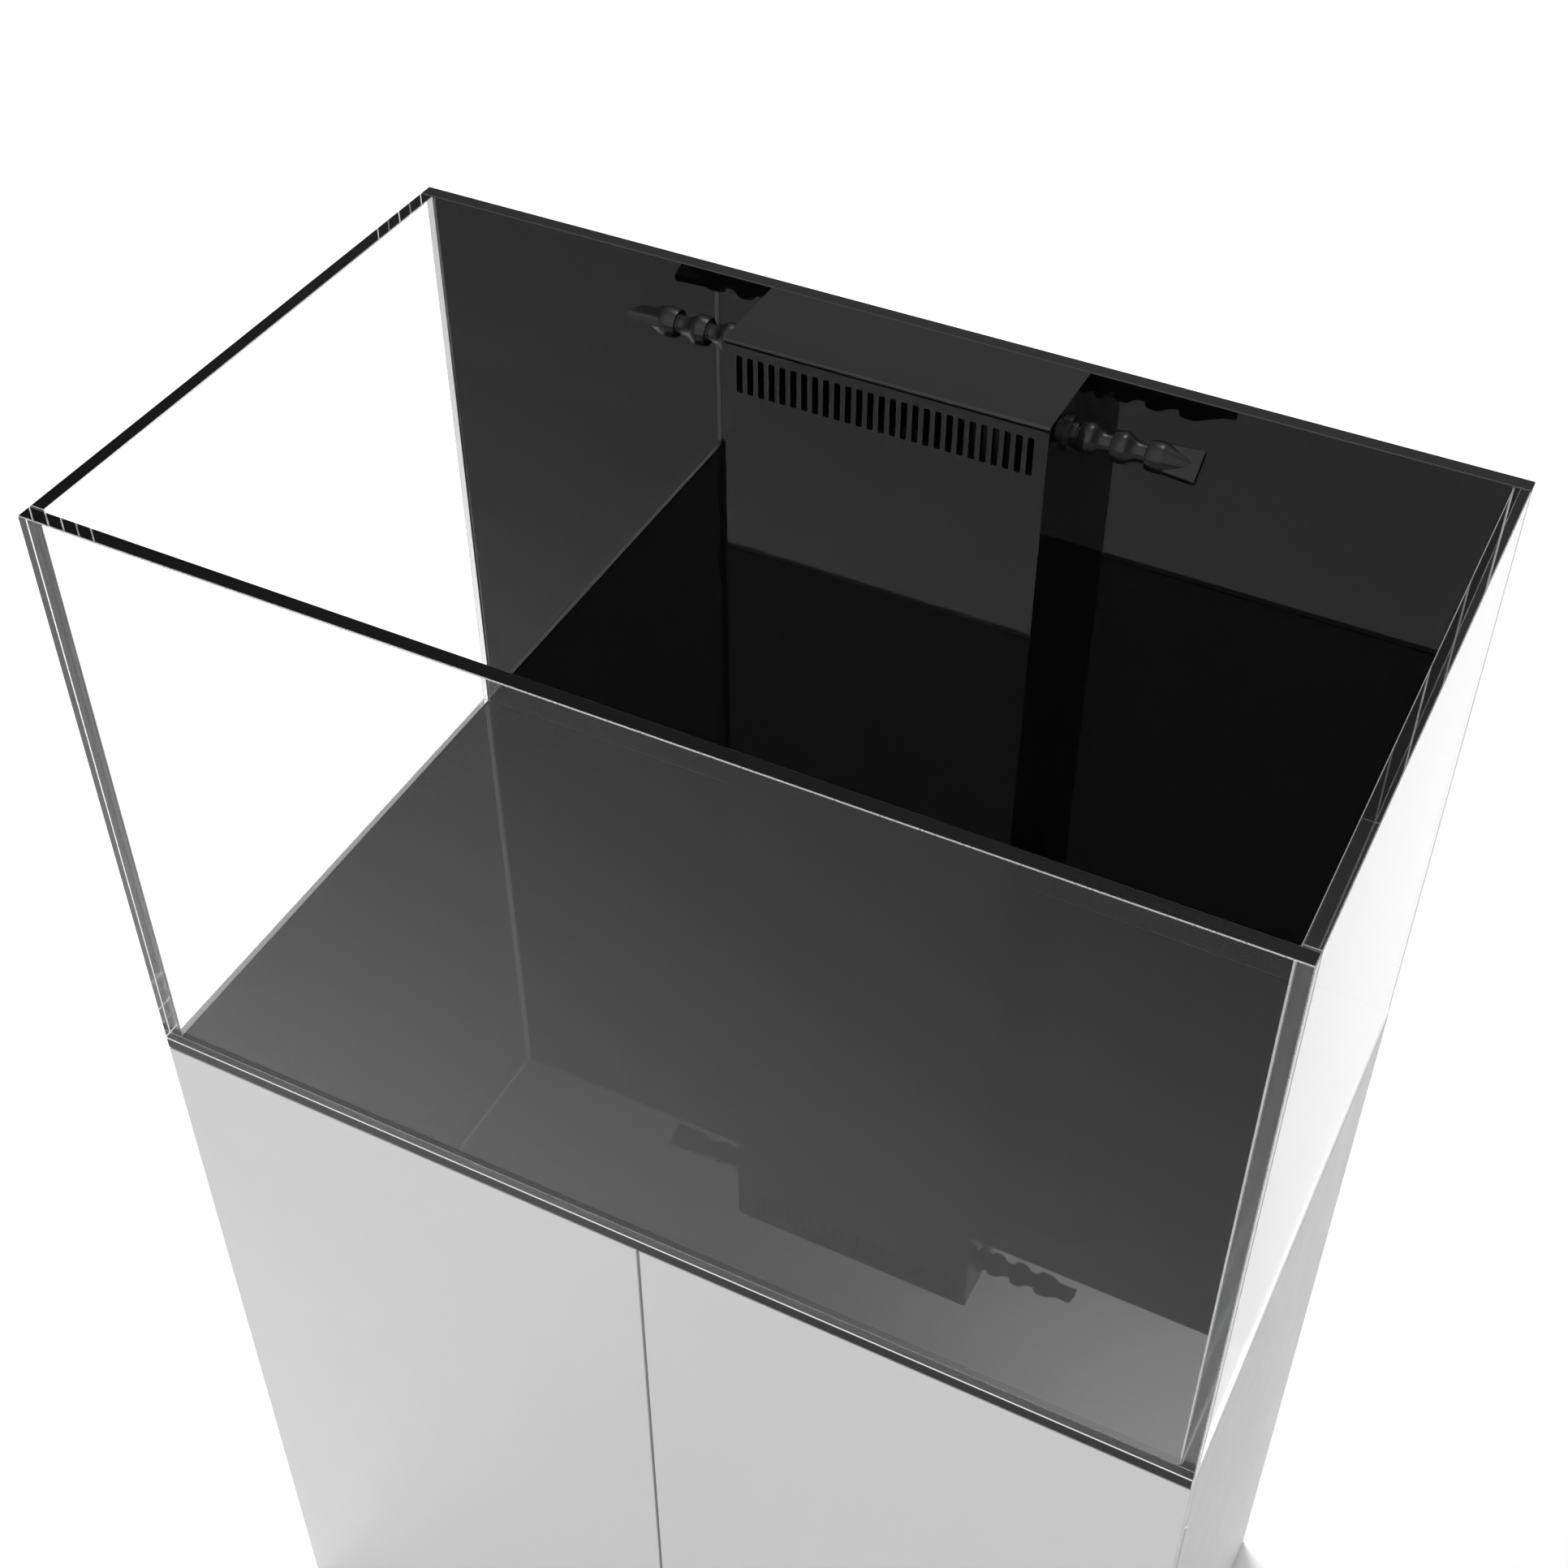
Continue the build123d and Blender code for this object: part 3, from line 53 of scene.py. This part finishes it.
# ---- Material kit ----
class Recipe:
    """A Principled material with procedural textures in the piece's own space, in metres."""

    def __init__(self, name):
        self.material = bpy.data.materials.new(name)
        self.material.use_nodes = True
        self.tree = self.material.node_tree
        self.shader = self.tree.nodes["Principled BSDF"]
        self.place = self.add("TexCoord").outputs["Object"]

    def add(self, kind):
        """A new shader node."""
        return self.tree.nodes.new("ShaderNode" + kind)

    def join(self, source, target):
        """Link one socket to another."""
        self.tree.links.new(source, target)

    def set(self, **values):
        """Plain values on the shader's own sockets, with _ for a space in a name."""
        for name, value in values.items():
            self.shader.inputs[name.replace("_", " ")].default_value = value

    def stretched(self, scale):
        """The place, scaled by one number for each axis."""
        mapping = self.add("Mapping")
        mapping.inputs["Scale"].default_value = scale
        self.join(self.place, mapping.inputs["Vector"])
        return mapping.outputs["Vector"]

    def noise(self, per_metre, detail=3.0, stretch=(1.0, 1.0, 1.0), distortion=0.0):
        """Fractal noise from 0 to 1 with so many cells to the metre."""
        texture = self.add("TexNoise")
        texture.inputs["Scale"].default_value = per_metre
        texture.inputs["Detail"].default_value = detail
        texture.inputs["Distortion"].default_value = distortion
        self.join(self.stretched(stretch), texture.inputs["Vector"])
        return texture.outputs["Fac"]

    def cells(self, per_metre):
        """Distance to the nearest of scattered points, so many to the metre."""
        texture = self.add("TexVoronoi")
        texture.inputs["Scale"].default_value = per_metre
        self.join(self.place, texture.inputs["Vector"])
        return texture.outputs["Distance"]

    def spread(self, value, low, high, start=0.3, end=0.7):
        """Values from start to end become low to high."""
        spread = self.add("MapRange")
        spread.inputs["From Min"].default_value = start
        spread.inputs["From Max"].default_value = end
        spread.inputs["To Min"].default_value = low
        spread.inputs["To Max"].default_value = high
        self.join(value, spread.inputs["Value"])
        return spread.outputs["Result"]

    def math(self, operation, first, second):
        """One sum on two sockets or numbers."""
        node = self.add("Math")
        node.operation = operation
        for value, socket in zip((first, second), node.inputs):
            if isinstance(value, (int, float)):
                socket.default_value = value
            else:
                self.join(value, socket)
        return node.outputs["Value"]

    def blend(self, share, first, second):
        """A colour between two, by a share from 0 to 1."""
        mix = self.add("Mix")
        mix.data_type = "RGBA"
        self.join(share, mix.inputs["Factor"])
        for value, socket in ((first, mix.inputs[6]), (second, mix.inputs[7])):
            if isinstance(value, tuple):
                socket.default_value = (*value, 1.0)
            else:
                self.join(value, socket)
        return mix.outputs[2]

    def colour(self, value):
        """Drive the base colour."""
        self.join(value, self.shader.inputs["Base Color"])

    def rough(self, value):
        """Drive the roughness."""
        self.join(value, self.shader.inputs["Roughness"])

    def relief(self, height, distance, strength=1.0):
        """Bump of that many metres on the shader's normal."""
        bump = self.add("Bump")
        bump.inputs["Distance"].default_value = distance
        bump.inputs["Strength"].default_value = strength
        self.join(height, bump.inputs["Height"])
        self.join(bump.outputs["Normal"], self.shader.inputs["Normal"])


def grey(value):
    """A neutral colour."""
    return (value, value, value)


# ---- Materials, one for each slot ----
def clear_glass():
    """Low-iron float glass, polished, with the faintest smears."""
    made = Recipe("clear_glass")
    made.set(IOR=1.31, Transmission_Weight=1.0, Base_Color=(0.997, 1.0, 0.999, 1.0))
    made.rough(made.spread(made.noise(9.0, 5.0), 0.0, 0.012))
    return made.material


def ground_arris():
    """The fine frosted bevel ground along every edge of a clear pane."""
    made = Recipe("ground_arris")
    made.set(IOR=1.31, Transmission_Weight=0.7)
    made.colour(made.blend(made.noise(900.0, 3.0), grey(0.94), grey(0.99)))
    made.rough(made.spread(made.noise(600.0, 3.0), 0.24, 0.36))
    return made.material


def black_glass():
    """Black-painted float glass: a mirror finish with the faintest smears."""
    made = Recipe("black_glass")
    made.set(IOR=1.5, Specular_IOR_Level=0.41)
    made.colour(made.blend(made.noise(14.0, 4.0), grey(0.0012), grey(0.0024)))
    made.rough(made.spread(made.noise(7.0, 6.0, distortion=0.6), 0.0, 0.02))
    return made.material


def black_arris(name, tone):
    """The ground bevel along an edge of a black pane, as pale as its tone; a pale tone is a painted
    highlight along the edge.
    """
    made = Recipe(name)
    made.set(IOR=1.5, Specular_IOR_Level=0.41)
    made.colour(made.blend(made.noise(900.0, 3.0), grey(tone * 0.9), grey(tone * 1.1)))
    made.rough(made.spread(made.noise(600.0, 3.0), 0.4, 0.6))
    return made.material


def black_acrylic():
    """Polished cast acrylic, slightly less flat than glass."""
    made = Recipe("black_acrylic")
    made.set(IOR=1.49, Specular_IOR_Level=0.41)
    made.colour(made.blend(made.noise(30.0, 4.0), grey(0.002), grey(0.0045)))
    made.rough(made.spread(made.noise(900.0, 2.0, stretch=(0.06, 1.0, 1.0)), 0.02, 0.05))
    made.relief(made.noise(24.0, 2.0), 0.00004)
    return made.material


def bonded_edge():
    """The cut foot of the front pane, bedded on black: a dull dark grey through the glass."""
    made = Recipe("bonded_edge")
    made.set(IOR=1.5, Specular_IOR_Level=0.3)
    made.colour(made.blend(made.noise(500.0, 4.0), grey(0.03), grey(0.055)))
    made.rough(made.spread(made.noise(300.0, 3.0), 0.4, 0.6))
    return made.material


def sawn_acrylic():
    """The machined walls of the weir's slots: dull black with fine cutter marks."""
    made = Recipe("sawn_acrylic")
    made.set(IOR=1.49, Specular_IOR_Level=0.12)
    marks = made.noise(1800.0, 2.0, stretch=(1.0, 0.1, 1.0))
    made.colour(made.blend(marks, grey(0.001), grey(0.002)))
    made.rough(made.spread(marks, 0.5, 0.7))
    return made.material


def moulded_plastic(name, dark, light, roughness, grain=1500.0, shine=0.5):
    """Spark-eroded mould finish: fine even grain under a broad, faint change of tone."""
    made = Recipe(name)
    made.set(IOR=1.5, Specular_IOR_Level=shine)
    made.colour(made.blend(made.spread(made.noise(60.0, 4.0), 0.0, 1.0), dark, light))
    made.rough(made.spread(made.noise(180.0, 4.0), roughness - 0.06, roughness + 0.06))
    made.relief(made.noise(grain, 2.0), 0.00006, 0.6)
    return made.material


def silicone():
    """Clear cured silicone, faintly cloudy."""
    made = Recipe("silicone")
    made.set(IOR=1.31, Transmission_Weight=0.97)
    made.colour(made.blend(made.noise(220.0, 3.0), grey(0.9), grey(0.95)))
    made.rough(made.spread(made.noise(400.0, 3.0), 0.05, 0.16))
    made.relief(made.noise(90.0, 3.0), 0.0003, 0.5)
    return made.material


def pipe_plastic():
    """Extruded grey pressure pipe with faint die lines and scuffs."""
    made = Recipe("pipe_plastic")
    made.set(IOR=1.53)
    made.colour(made.blend(made.spread(made.noise(35.0, 5.0), 0.0, 1.0), grey(0.055), grey(0.085)))
    made.rough(made.spread(made.noise(700.0, 3.0, stretch=(1.0, 1.0, 0.05)), 0.22, 0.42))
    made.relief(made.noise(500.0, 2.0, stretch=(1.0, 1.0, 0.03)), 0.00008, 0.7)
    return made.material


def seal_rubber():
    """Dull nitrile with a powdery bloom."""
    made = Recipe("seal_rubber")
    made.colour(made.blend(made.spread(made.noise(300.0, 5.0), 0.0, 1.0), grey(0.008), grey(0.022)))
    made.rough(made.spread(made.noise(500.0, 3.0), 0.6, 0.85))
    made.relief(made.noise(1200.0, 2.0), 0.0001, 0.5)
    return made.material


def lacquered_board():
    """Sprayed satin lacquer: fine orange peel and the slightest change of tone."""
    made = Recipe("lacquered_board")
    made.set(IOR=1.48, Coat_Weight=0.15, Coat_Roughness=0.3, Specular_IOR_Level=0.35)
    tone = made.spread(made.noise(2.2, 3.0), 0.0, 1.0)
    made.colour(made.blend(tone, (0.65, 0.65, 0.653), (0.665, 0.665, 0.667)))
    made.rough(made.spread(made.noise(26.0, 5.0), 0.36, 0.46))
    made.relief(made.noise(520.0, 2.0), 0.00005, 0.5)
    return made.material


def brushed_steel():
    """Stamped and brushed steel with a fine grain along the leaf."""
    made = Recipe("hinge_steel")
    made.set(Metallic=1.0)
    grain = made.noise(2600.0, 3.0, stretch=(1.0, 1.0, 0.02))
    made.colour(made.blend(grain, grey(0.42), grey(0.62)))
    made.rough(made.spread(grain, 0.24, 0.44))
    made.relief(grain, 0.00002, 0.5)
    return made.material


def plated_steel():
    """Zinc plate with a cloudy crystal pattern."""
    made = Recipe("screw_steel")
    made.set(Metallic=1.0)
    crystals = made.cells(700.0)
    made.colour(made.blend(crystals, grey(0.48), grey(0.66)))
    made.rough(made.spread(crystals, 0.2, 0.4, 0.0, 1.0))
    return made.material


def levelling_foam():
    """Closed-cell foam: small round cells, cut open at the edges."""
    made = Recipe("levelling_foam")
    pores = made.cells(1400.0)
    made.colour(made.blend(pores, grey(0.01), grey(0.035)))
    made.rough(made.spread(made.noise(200.0, 3.0), 0.8, 0.95))
    made.relief(pores, 0.0004, 0.8)
    return made.material


def sump_glass():
    """Plain float glass with a green cast and a film of water marks."""
    made = Recipe("sump_glass")
    made.set(IOR=1.5, Transmission_Weight=1.0)
    made.colour(made.blend(made.noise(12.0, 4.0), (0.93, 0.975, 0.955), (0.92, 0.965, 0.945)))
    marks = made.spread(made.cells(60.0), 0.05, 0.0, 0.0, 0.35)
    made.rough(made.math("MULTIPLY", marks, made.noise(12.0, 4.0)))
    return made.material


def shelf_acrylic():
    """Frosted acrylic sheet."""
    made = Recipe("shelf_acrylic")
    made.set(IOR=1.49, Transmission_Weight=0.55)
    made.colour(made.blend(made.noise(25.0, 4.0), grey(0.78), grey(0.86)))
    made.rough(made.spread(made.noise(600.0, 3.0), 0.42, 0.6))
    made.relief(made.noise(1500.0, 2.0), 0.00005, 0.5)
    return made.material


def sock_felt():
    """White needle felt: tangled short fibres and the dimples of the needling."""
    made = Recipe("sock_felt")
    made.set(Sheen_Weight=0.35, Sheen_Roughness=0.6)
    fibres = made.noise(1500.0, 6.0, distortion=1.6)
    made.colour(made.blend(made.spread(fibres, 0.0, 1.0), (0.62, 0.62, 0.58), (0.82, 0.82, 0.79)))
    made.rough(made.spread(fibres, 0.85, 1.0))
    fuzz = made.math("ADD", fibres, made.math("MULTIPLY", made.cells(420.0), 0.8))
    made.relief(fuzz, 0.0009, 0.9)
    return made.material


def nozzle_plastic():
    """Black moulding with a low, even shine."""
    return moulded_plastic("nozzle_plastic", grey(0.003), grey(0.006), 0.2, shine=0.3)


def handle_plastic():
    """Red moulding of the valves' wheel and lever."""
    return moulded_plastic("handle_plastic", (0.36, 0.022, 0.014), (0.43, 0.03, 0.018), 0.42)


def pump_plastic():
    """Blue-black moulding with a coarser grain."""
    return moulded_plastic("pump_plastic", (0.02, 0.022, 0.03), (0.03, 0.033, 0.042), 0.5, 900.0)


MAKERS = {
    "clear_glass": clear_glass,
    "black_glass": black_glass,
    "black_acrylic": black_acrylic,
    "nozzle_plastic": nozzle_plastic,
    "silicone": silicone,
    "pipe_plastic": pipe_plastic,
    "fitting_plastic": lambda: moulded_plastic("fitting_plastic", grey(0.016), grey(0.03), 0.45),
    "handle_plastic": handle_plastic,
    "seal_rubber": seal_rubber,
    "lacquered_board": lacquered_board,
    "hinge_steel": brushed_steel,
    "screw_steel": plated_steel,
    "latch_plastic": lambda: moulded_plastic("latch_plastic", grey(0.42), grey(0.5), 0.5),
    "levelling_foam": levelling_foam,
    "glide_plastic": lambda: moulded_plastic("glide_plastic", grey(0.02), grey(0.035), 0.6),
    "sump_glass": sump_glass,
    "shelf_acrylic": shelf_acrylic,
    "sock_felt": sock_felt,
    "pump_plastic": pump_plastic,
    "impeller_plastic": lambda: moulded_plastic("impeller_plastic", grey(0.4), grey(0.48), 0.45),
}
finishes = {slot: make() for slot, make in MAKERS.items()}

# ---- Finishes on the CAD nodes ----
CLEAR_PANES = ("front_pane", "left_pane", "right_pane")
# Faces that lie exactly on a neighbour's render as dark lines, so these are drawn in a little.
BONDED_NODES = ("sump_base", "sump_panes", "tank_silicone")
BOND_GAP = 0.00004
SQUARE_ON = 0.9
SLOT_MARGIN = 0.001


def repaint(piece, material, chosen):
    """Give the faces that a test picks their own material."""
    piece.data.materials.append(material)
    for face in piece.data.polygons:
        if chosen(face):
            face.material_index = len(piece.data.materials) - 1


def is_arris(face):
    """Whether a pane's face leans between the axes, as only its ground bevels do."""
    return max(abs(part) for part in face.normal) < SQUARE_ON


def is_foot(face):
    """Whether a pane's face is the one it stands on."""
    return face.normal.z < -SQUARE_ON


def dress_cad_nodes():
    """Give every CAD node the finish of its slot, and ground, bedded or sawn faces their own, with
    a painted highlight on the bottom pane's bevels.
    """
    for name, piece in nodes.items():
        piece.data.materials.clear()
        piece.data.materials.append(finishes[slot_of[name]])
    for name in BONDED_NODES:
        shrink = nodes[name].modifiers.new("bond_gap", "DISPLACE")
        shrink.strength = -BOND_GAP
        shrink.mid_level = 0.0
    clear_arris = ground_arris()
    for name in CLEAR_PANES:
        repaint(nodes[name], clear_arris, is_arris)
    repaint(nodes["front_pane"], bonded_edge(), is_foot)
    repaint(nodes["back_pane"], black_arris("dark_arris", 0.02), is_arris)
    # The bottom pane's bevels are painted near white: a painted highlight line along its edges, not
    # the colour of black glass.
    repaint(nodes["bottom_pane"], black_arris("painted_highlight_arris", 0.8), is_arris)
    low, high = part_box("overflow_front")

    def in_slot(face):
        """Whether a face is a wall of a slot, not an end, foot or top of the weir."""
        across = low.x + SLOT_MARGIN < face.center.x < high.x - SLOT_MARGIN
        upright = low.z + SLOT_MARGIN < face.center.z < high.z - SLOT_MARGIN
        return across and upright and abs(face.normal.y) < 0.5

    repaint(nodes["overflow_front"], sawn_acrylic(), in_slot)


# ---- The filter sock: a felt bag sewn up one side and hung by its thick rim ----
SOCK_LEDGE = 0.0078
SOCK_FELT = 0.0024
SOCK_RIM = 0.003
SOCK_CORNER = 0.016
SOCK_ROW = 0.0013
SOCK_LIFT = 0.0012
SOCK_TAPER = 0.0005
SOCK_SAG = 0.0007
RIM_SLACK = 0.0001
RIM_ROOT = 0.0022
LIP_R = 0.002
FOOT_RINGS = (0.15, 0.3, 0.45, 0.6)
FOOT_CENTRE = 0.0005
CORNER_STEPS = 14
RIM_STEPS = 8
LIP_STEPS = 5
ROUND_STEPS = 150
# Each fold wave: how many to the turn, its lean down the wall, its start and its weight.
FOLD_WAVES = ((4.0, 2.6, 0.0, 1.0), (9.0, -3.4, 1.0, 0.6))
FOLD_DEPTH = 0.0026
FOLD_GROWTH = 1.5
FOLD_MEAN = 0.55
FOLD_SWING = 0.28
SEAM_AT = math.radians(-70.0)
SEAM_HALF = 0.003
SEAM_RISE = 0.0006
SEAM_STEP = 0.0006
SEAM_REACH = 10
SEAM_TOP = 0.01
STITCH_PITCH = 0.0052
STITCH_SHARE = 0.6
STITCH_FROM = 0.0008
STITCH_TO = 0.0023
STITCH_RISE = 0.0004


def arc(centre, radius, start, end, steps):
    """Points on an arc of (radius, height) from one angle to another, in degrees."""
    angles = [math.radians(start + (end - start) * step / steps) for step in range(steps + 1)]
    return [(centre[0] + radius * math.cos(a), centre[1] + radius * math.sin(a)) for a in angles]


def sock_profile(low, high, rim_r):
    """The felt's outline from the outside of the foot, up, over the rim and down to the inside."""
    wall = rim_r - SOCK_LEDGE
    roll = SOCK_RIM / 2 - RIM_SLACK
    rim_mid = high - SOCK_RIM / 2
    corner = (wall - SOCK_CORNER, low + SOCK_CORNER)
    rows = [(wall * share, low) for share in FOOT_RINGS]
    rows += arc(corner, SOCK_CORNER, -90.0, 0.0, CORNER_STEPS)
    count = int((high - SOCK_RIM - 0.001 - corner[1]) / SOCK_ROW)
    rows += [(wall, corner[1] + SOCK_ROW * step) for step in range(1, count)]
    rows += [(wall + 0.0004, high - SOCK_RIM - 0.0002), (wall + RIM_ROOT, rim_mid - roll)]
    rows += arc((rim_r - roll, rim_mid), roll, -90.0, 90.0, RIM_STEPS)
    rows += [(wall + RIM_ROOT, high - 0.0002)]
    inner = wall - SOCK_FELT
    rows += arc((inner + LIP_R, high - 0.0022), LIP_R, 90.0, 180.0, LIP_STEPS)
    rows += [(inner, corner[1] + SOCK_ROW * step) for step in range(count - 3, 0, -1)]
    rows += arc(corner, SOCK_CORNER - SOCK_FELT, 0.0, -90.0, CORNER_STEPS)
    rows += [(wall * share, low + SOCK_FELT) for share in reversed(FOOT_RINGS)]
    return rows


def felt_slack(angle, depth):
    """How far the wall draws in: nothing at the rim, soft folds towards the foot."""
    waves = sum(
        weight * math.sin(count * angle + lean * depth + start)
        for count, lean, start, weight in FOLD_WAVES
    )
    return FOLD_DEPTH * depth**FOLD_GROWTH * (FOLD_MEAN + FOLD_SWING * waves)


def seam_rise(angle, wall, height, depth):
    """How far the sewn seam and its stitches stand out of the wall."""
    along = abs(angle - SEAM_AT) * wall
    if depth <= SEAM_TOP:
        return 0.0
    seam = SEAM_RISE * max(0.0, 1.0 - (along / SEAM_HALF) ** 4)
    on_stitch = height % STITCH_PITCH < STITCH_PITCH * STITCH_SHARE
    if seam and STITCH_FROM < along < STITCH_TO and on_stitch:
        return seam + STITCH_RISE
    return seam


def make_filter_sock():
    """A revolved felt shell with folds, and a stitched seam up one side."""
    low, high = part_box("filter_sock")
    middle = (low + high) / 2
    rim_r = (high.x - low.x) / 2
    wall = rim_r - SOCK_LEDGE
    near = [SEAM_AT + step * SEAM_STEP / wall for step in range(-SEAM_REACH, SEAM_REACH + 1)]
    rest = 2.0 * math.pi - (near[-1] - near[0])
    turns = near + [near[-1] + rest * step / ROUND_STEPS for step in range(1, ROUND_STEPS)]
    places = []
    for radius, height in sock_profile(low.z + SOCK_LIFT, high.z, rim_r):
        depth = min(max((high.z - SOCK_RIM - height) / (high.z - low.z), 0.0), 1.0)
        for angle in turns:
            share = radius / wall
            rise = seam_rise(angle, wall, height, depth)
            drawn_in = share * felt_slack(angle, depth)
            out = radius - drawn_in + share * rise - SOCK_TAPER * share * depth
            sag = SOCK_SAG * (1.0 - min(share, 1.0)) * depth
            side, back = out * math.cos(angle), out * math.sin(angle)
            places.append((middle.x + side, middle.y + back, height - sag))
    ring = len(turns)
    rows = len(places) // ring
    faces = []
    for row in range(rows - 1):
        for step in range(ring):
            after = (step + 1) % ring
            start = row * ring
            faces.append((start + step, start + after, start + ring + after, start + ring + step))
    foot = low.z + FOOT_CENTRE
    for row, height in ((0, foot), (rows - 1, foot + SOCK_FELT)):
        centre = len(places)
        places.append((middle.x, middle.y, height))
        for step in range(ring):
            pair = (row * ring + (step + 1) % ring, row * ring + step)
            faces.append((centre, *(pair if row == 0 else pair[::-1])))
    mesh = bpy.data.meshes.new("felt_sock")
    mesh.from_pydata(places, [], faces)
    mesh.shade_smooth()
    sock = bpy.data.objects.new("felt_sock", mesh)
    bpy.context.scene.collection.objects.link(sock)
    mesh.materials.append(finishes["sock_felt"])
    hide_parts("filter_sock")
    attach(sock, "sock_body")


# ---- Stage, light and camera ----
FLOOR_REACH = 60.0
FLOOR_TONES = (0.61, 0.63)
DOME_BACK = 0.44
DOME_FRONT = 1.58
DOME_TURN = (0.5, -0.6)
DOME_SIDE_SHARE = 0.2
DOME_SIDE_TURN = (0.25, 0.85)
GLOW = 8.0
GLOW_TIGHTNESS = 55.0
GLOW_HEIGHT = math.radians(64.0)
GLOW_TOWARDS = (0.0, math.cos(GLOW_HEIGHT), math.sin(GLOW_HEIGHT))
LAMP_AT = (-1.4, 2.2, 6.0)
LAMP_POWER = 2000.0
LAMP_RADIUS = 0.8
LAMP_CONE = math.radians(58.0)
LAMP_BLEND = 0.2
CAMERA_AT = (0.5685, -1.1202, 2.3694)
CAMERA_TURN = (math.radians(46.66), 0.0, math.radians(26.89))
CAMERA_SENSOR = 36.0
CAMERA_LENS = 52.36


def make_floor():
    """A wide pale floor."""
    mesh = bpy.data.meshes.new("studio_floor")
    signs = ((-1, -1), (1, -1), (1, 1), (-1, 1))
    corners = [(across * FLOOR_REACH, along * FLOOR_REACH, 0.0) for across, along in signs]
    mesh.from_pydata(corners, [], [(0, 1, 2, 3)])
    floor = bpy.data.objects.new("studio_floor", mesh)
    bpy.context.scene.collection.objects.link(floor)
    paint = Recipe("studio_floor")
    paint.set(Roughness=1.0, Specular_IOR_Level=0.0)
    paint.colour(paint.blend(paint.noise(0.5), grey(FLOOR_TONES[0]), grey(FLOOR_TONES[1])))
    floor.data.materials.append(paint.material)


def make_dome():
    """A soft white dome, brighter in front, with a broad glow high up behind the tank."""
    world = bpy.data.worlds.new("studio")
    bpy.context.scene.world = world
    world.use_nodes = True
    tree = world.node_tree

    def math_node(operation, first, second):
        """One sum on two sockets or numbers."""
        node = tree.nodes.new("ShaderNodeMath")
        node.operation = operation
        for value, socket in zip((first, second), node.inputs):
            if isinstance(value, float):
                socket.default_value = value
            else:
                tree.links.new(value, socket)
        return node.outputs["Value"]

    def smooth(value, turn, first, last):
        """A smooth change from first to last while the value goes through the turn."""
        node = tree.nodes.new("ShaderNodeMapRange")
        node.interpolation_type = "SMOOTHSTEP"
        node.inputs["From Min"].default_value = turn[0]
        node.inputs["From Max"].default_value = turn[1]
        node.inputs["To Min"].default_value = first
        node.inputs["To Max"].default_value = last
        tree.links.new(value, node.inputs["Value"])
        return node.outputs["Result"]

    towards = tree.nodes.new("ShaderNodeTexCoord").outputs["Generated"]
    split = tree.nodes.new("ShaderNodeSeparateXYZ")
    tree.links.new(towards, split.inputs["Vector"])
    depth = smooth(split.outputs["Y"], DOME_TURN, DOME_BACK, DOME_FRONT)
    aside = math_node("ABSOLUTE", split.outputs["X"], 0.0)
    sides = smooth(aside, DOME_SIDE_TURN, 1.0, DOME_SIDE_SHARE)
    nearness = tree.nodes.new("ShaderNodeVectorMath")
    nearness.operation = "DOT_PRODUCT"
    nearness.inputs[1].default_value = GLOW_TOWARDS
    tree.links.new(towards, nearness.inputs[0])
    miss = math_node("SUBTRACT", nearness.outputs["Value"], 1.0)
    fall = math_node("MULTIPLY", miss, GLOW_TIGHTNESS)
    glow = math_node("MULTIPLY", math_node("EXPONENT", fall, 0.0), GLOW)
    dome = math_node("MULTIPLY", depth, sides)
    background = tree.nodes["Background"]
    tree.links.new(math_node("ADD", dome, glow), background.inputs["Strength"])
    background.inputs["Color"].default_value = (1.0, 1.0, 1.0, 1.0)


def make_backdrop_lamp():
    """A soft lamp high behind the tank that lights the floor there to white."""
    data = bpy.data.lights.new("backdrop_lamp", "SPOT")
    data.energy = LAMP_POWER
    data.shadow_soft_size = LAMP_RADIUS
    data.spot_size = LAMP_CONE
    data.spot_blend = LAMP_BLEND
    lamp = bpy.data.objects.new("backdrop_lamp", data)
    lamp.location = LAMP_AT
    lamp.visible_glossy = False
    bpy.context.scene.collection.objects.link(lamp)


def make_camera():
    """Above the right front corner, looking down into the tank."""
    data = bpy.data.cameras.new("camera")
    data.sensor_width = CAMERA_SENSOR
    data.lens = CAMERA_LENS
    camera = bpy.data.objects.new("camera", data)
    camera.location = CAMERA_AT
    camera.rotation_euler = CAMERA_TURN
    bpy.context.scene.collection.objects.link(camera)
    bpy.context.scene.camera = camera
    bpy.context.scene.view_settings.view_transform = "Standard"


dress_cad_nodes()
make_filter_sock()
make_floor()
make_dome()
make_backdrop_lamp()
make_camera()
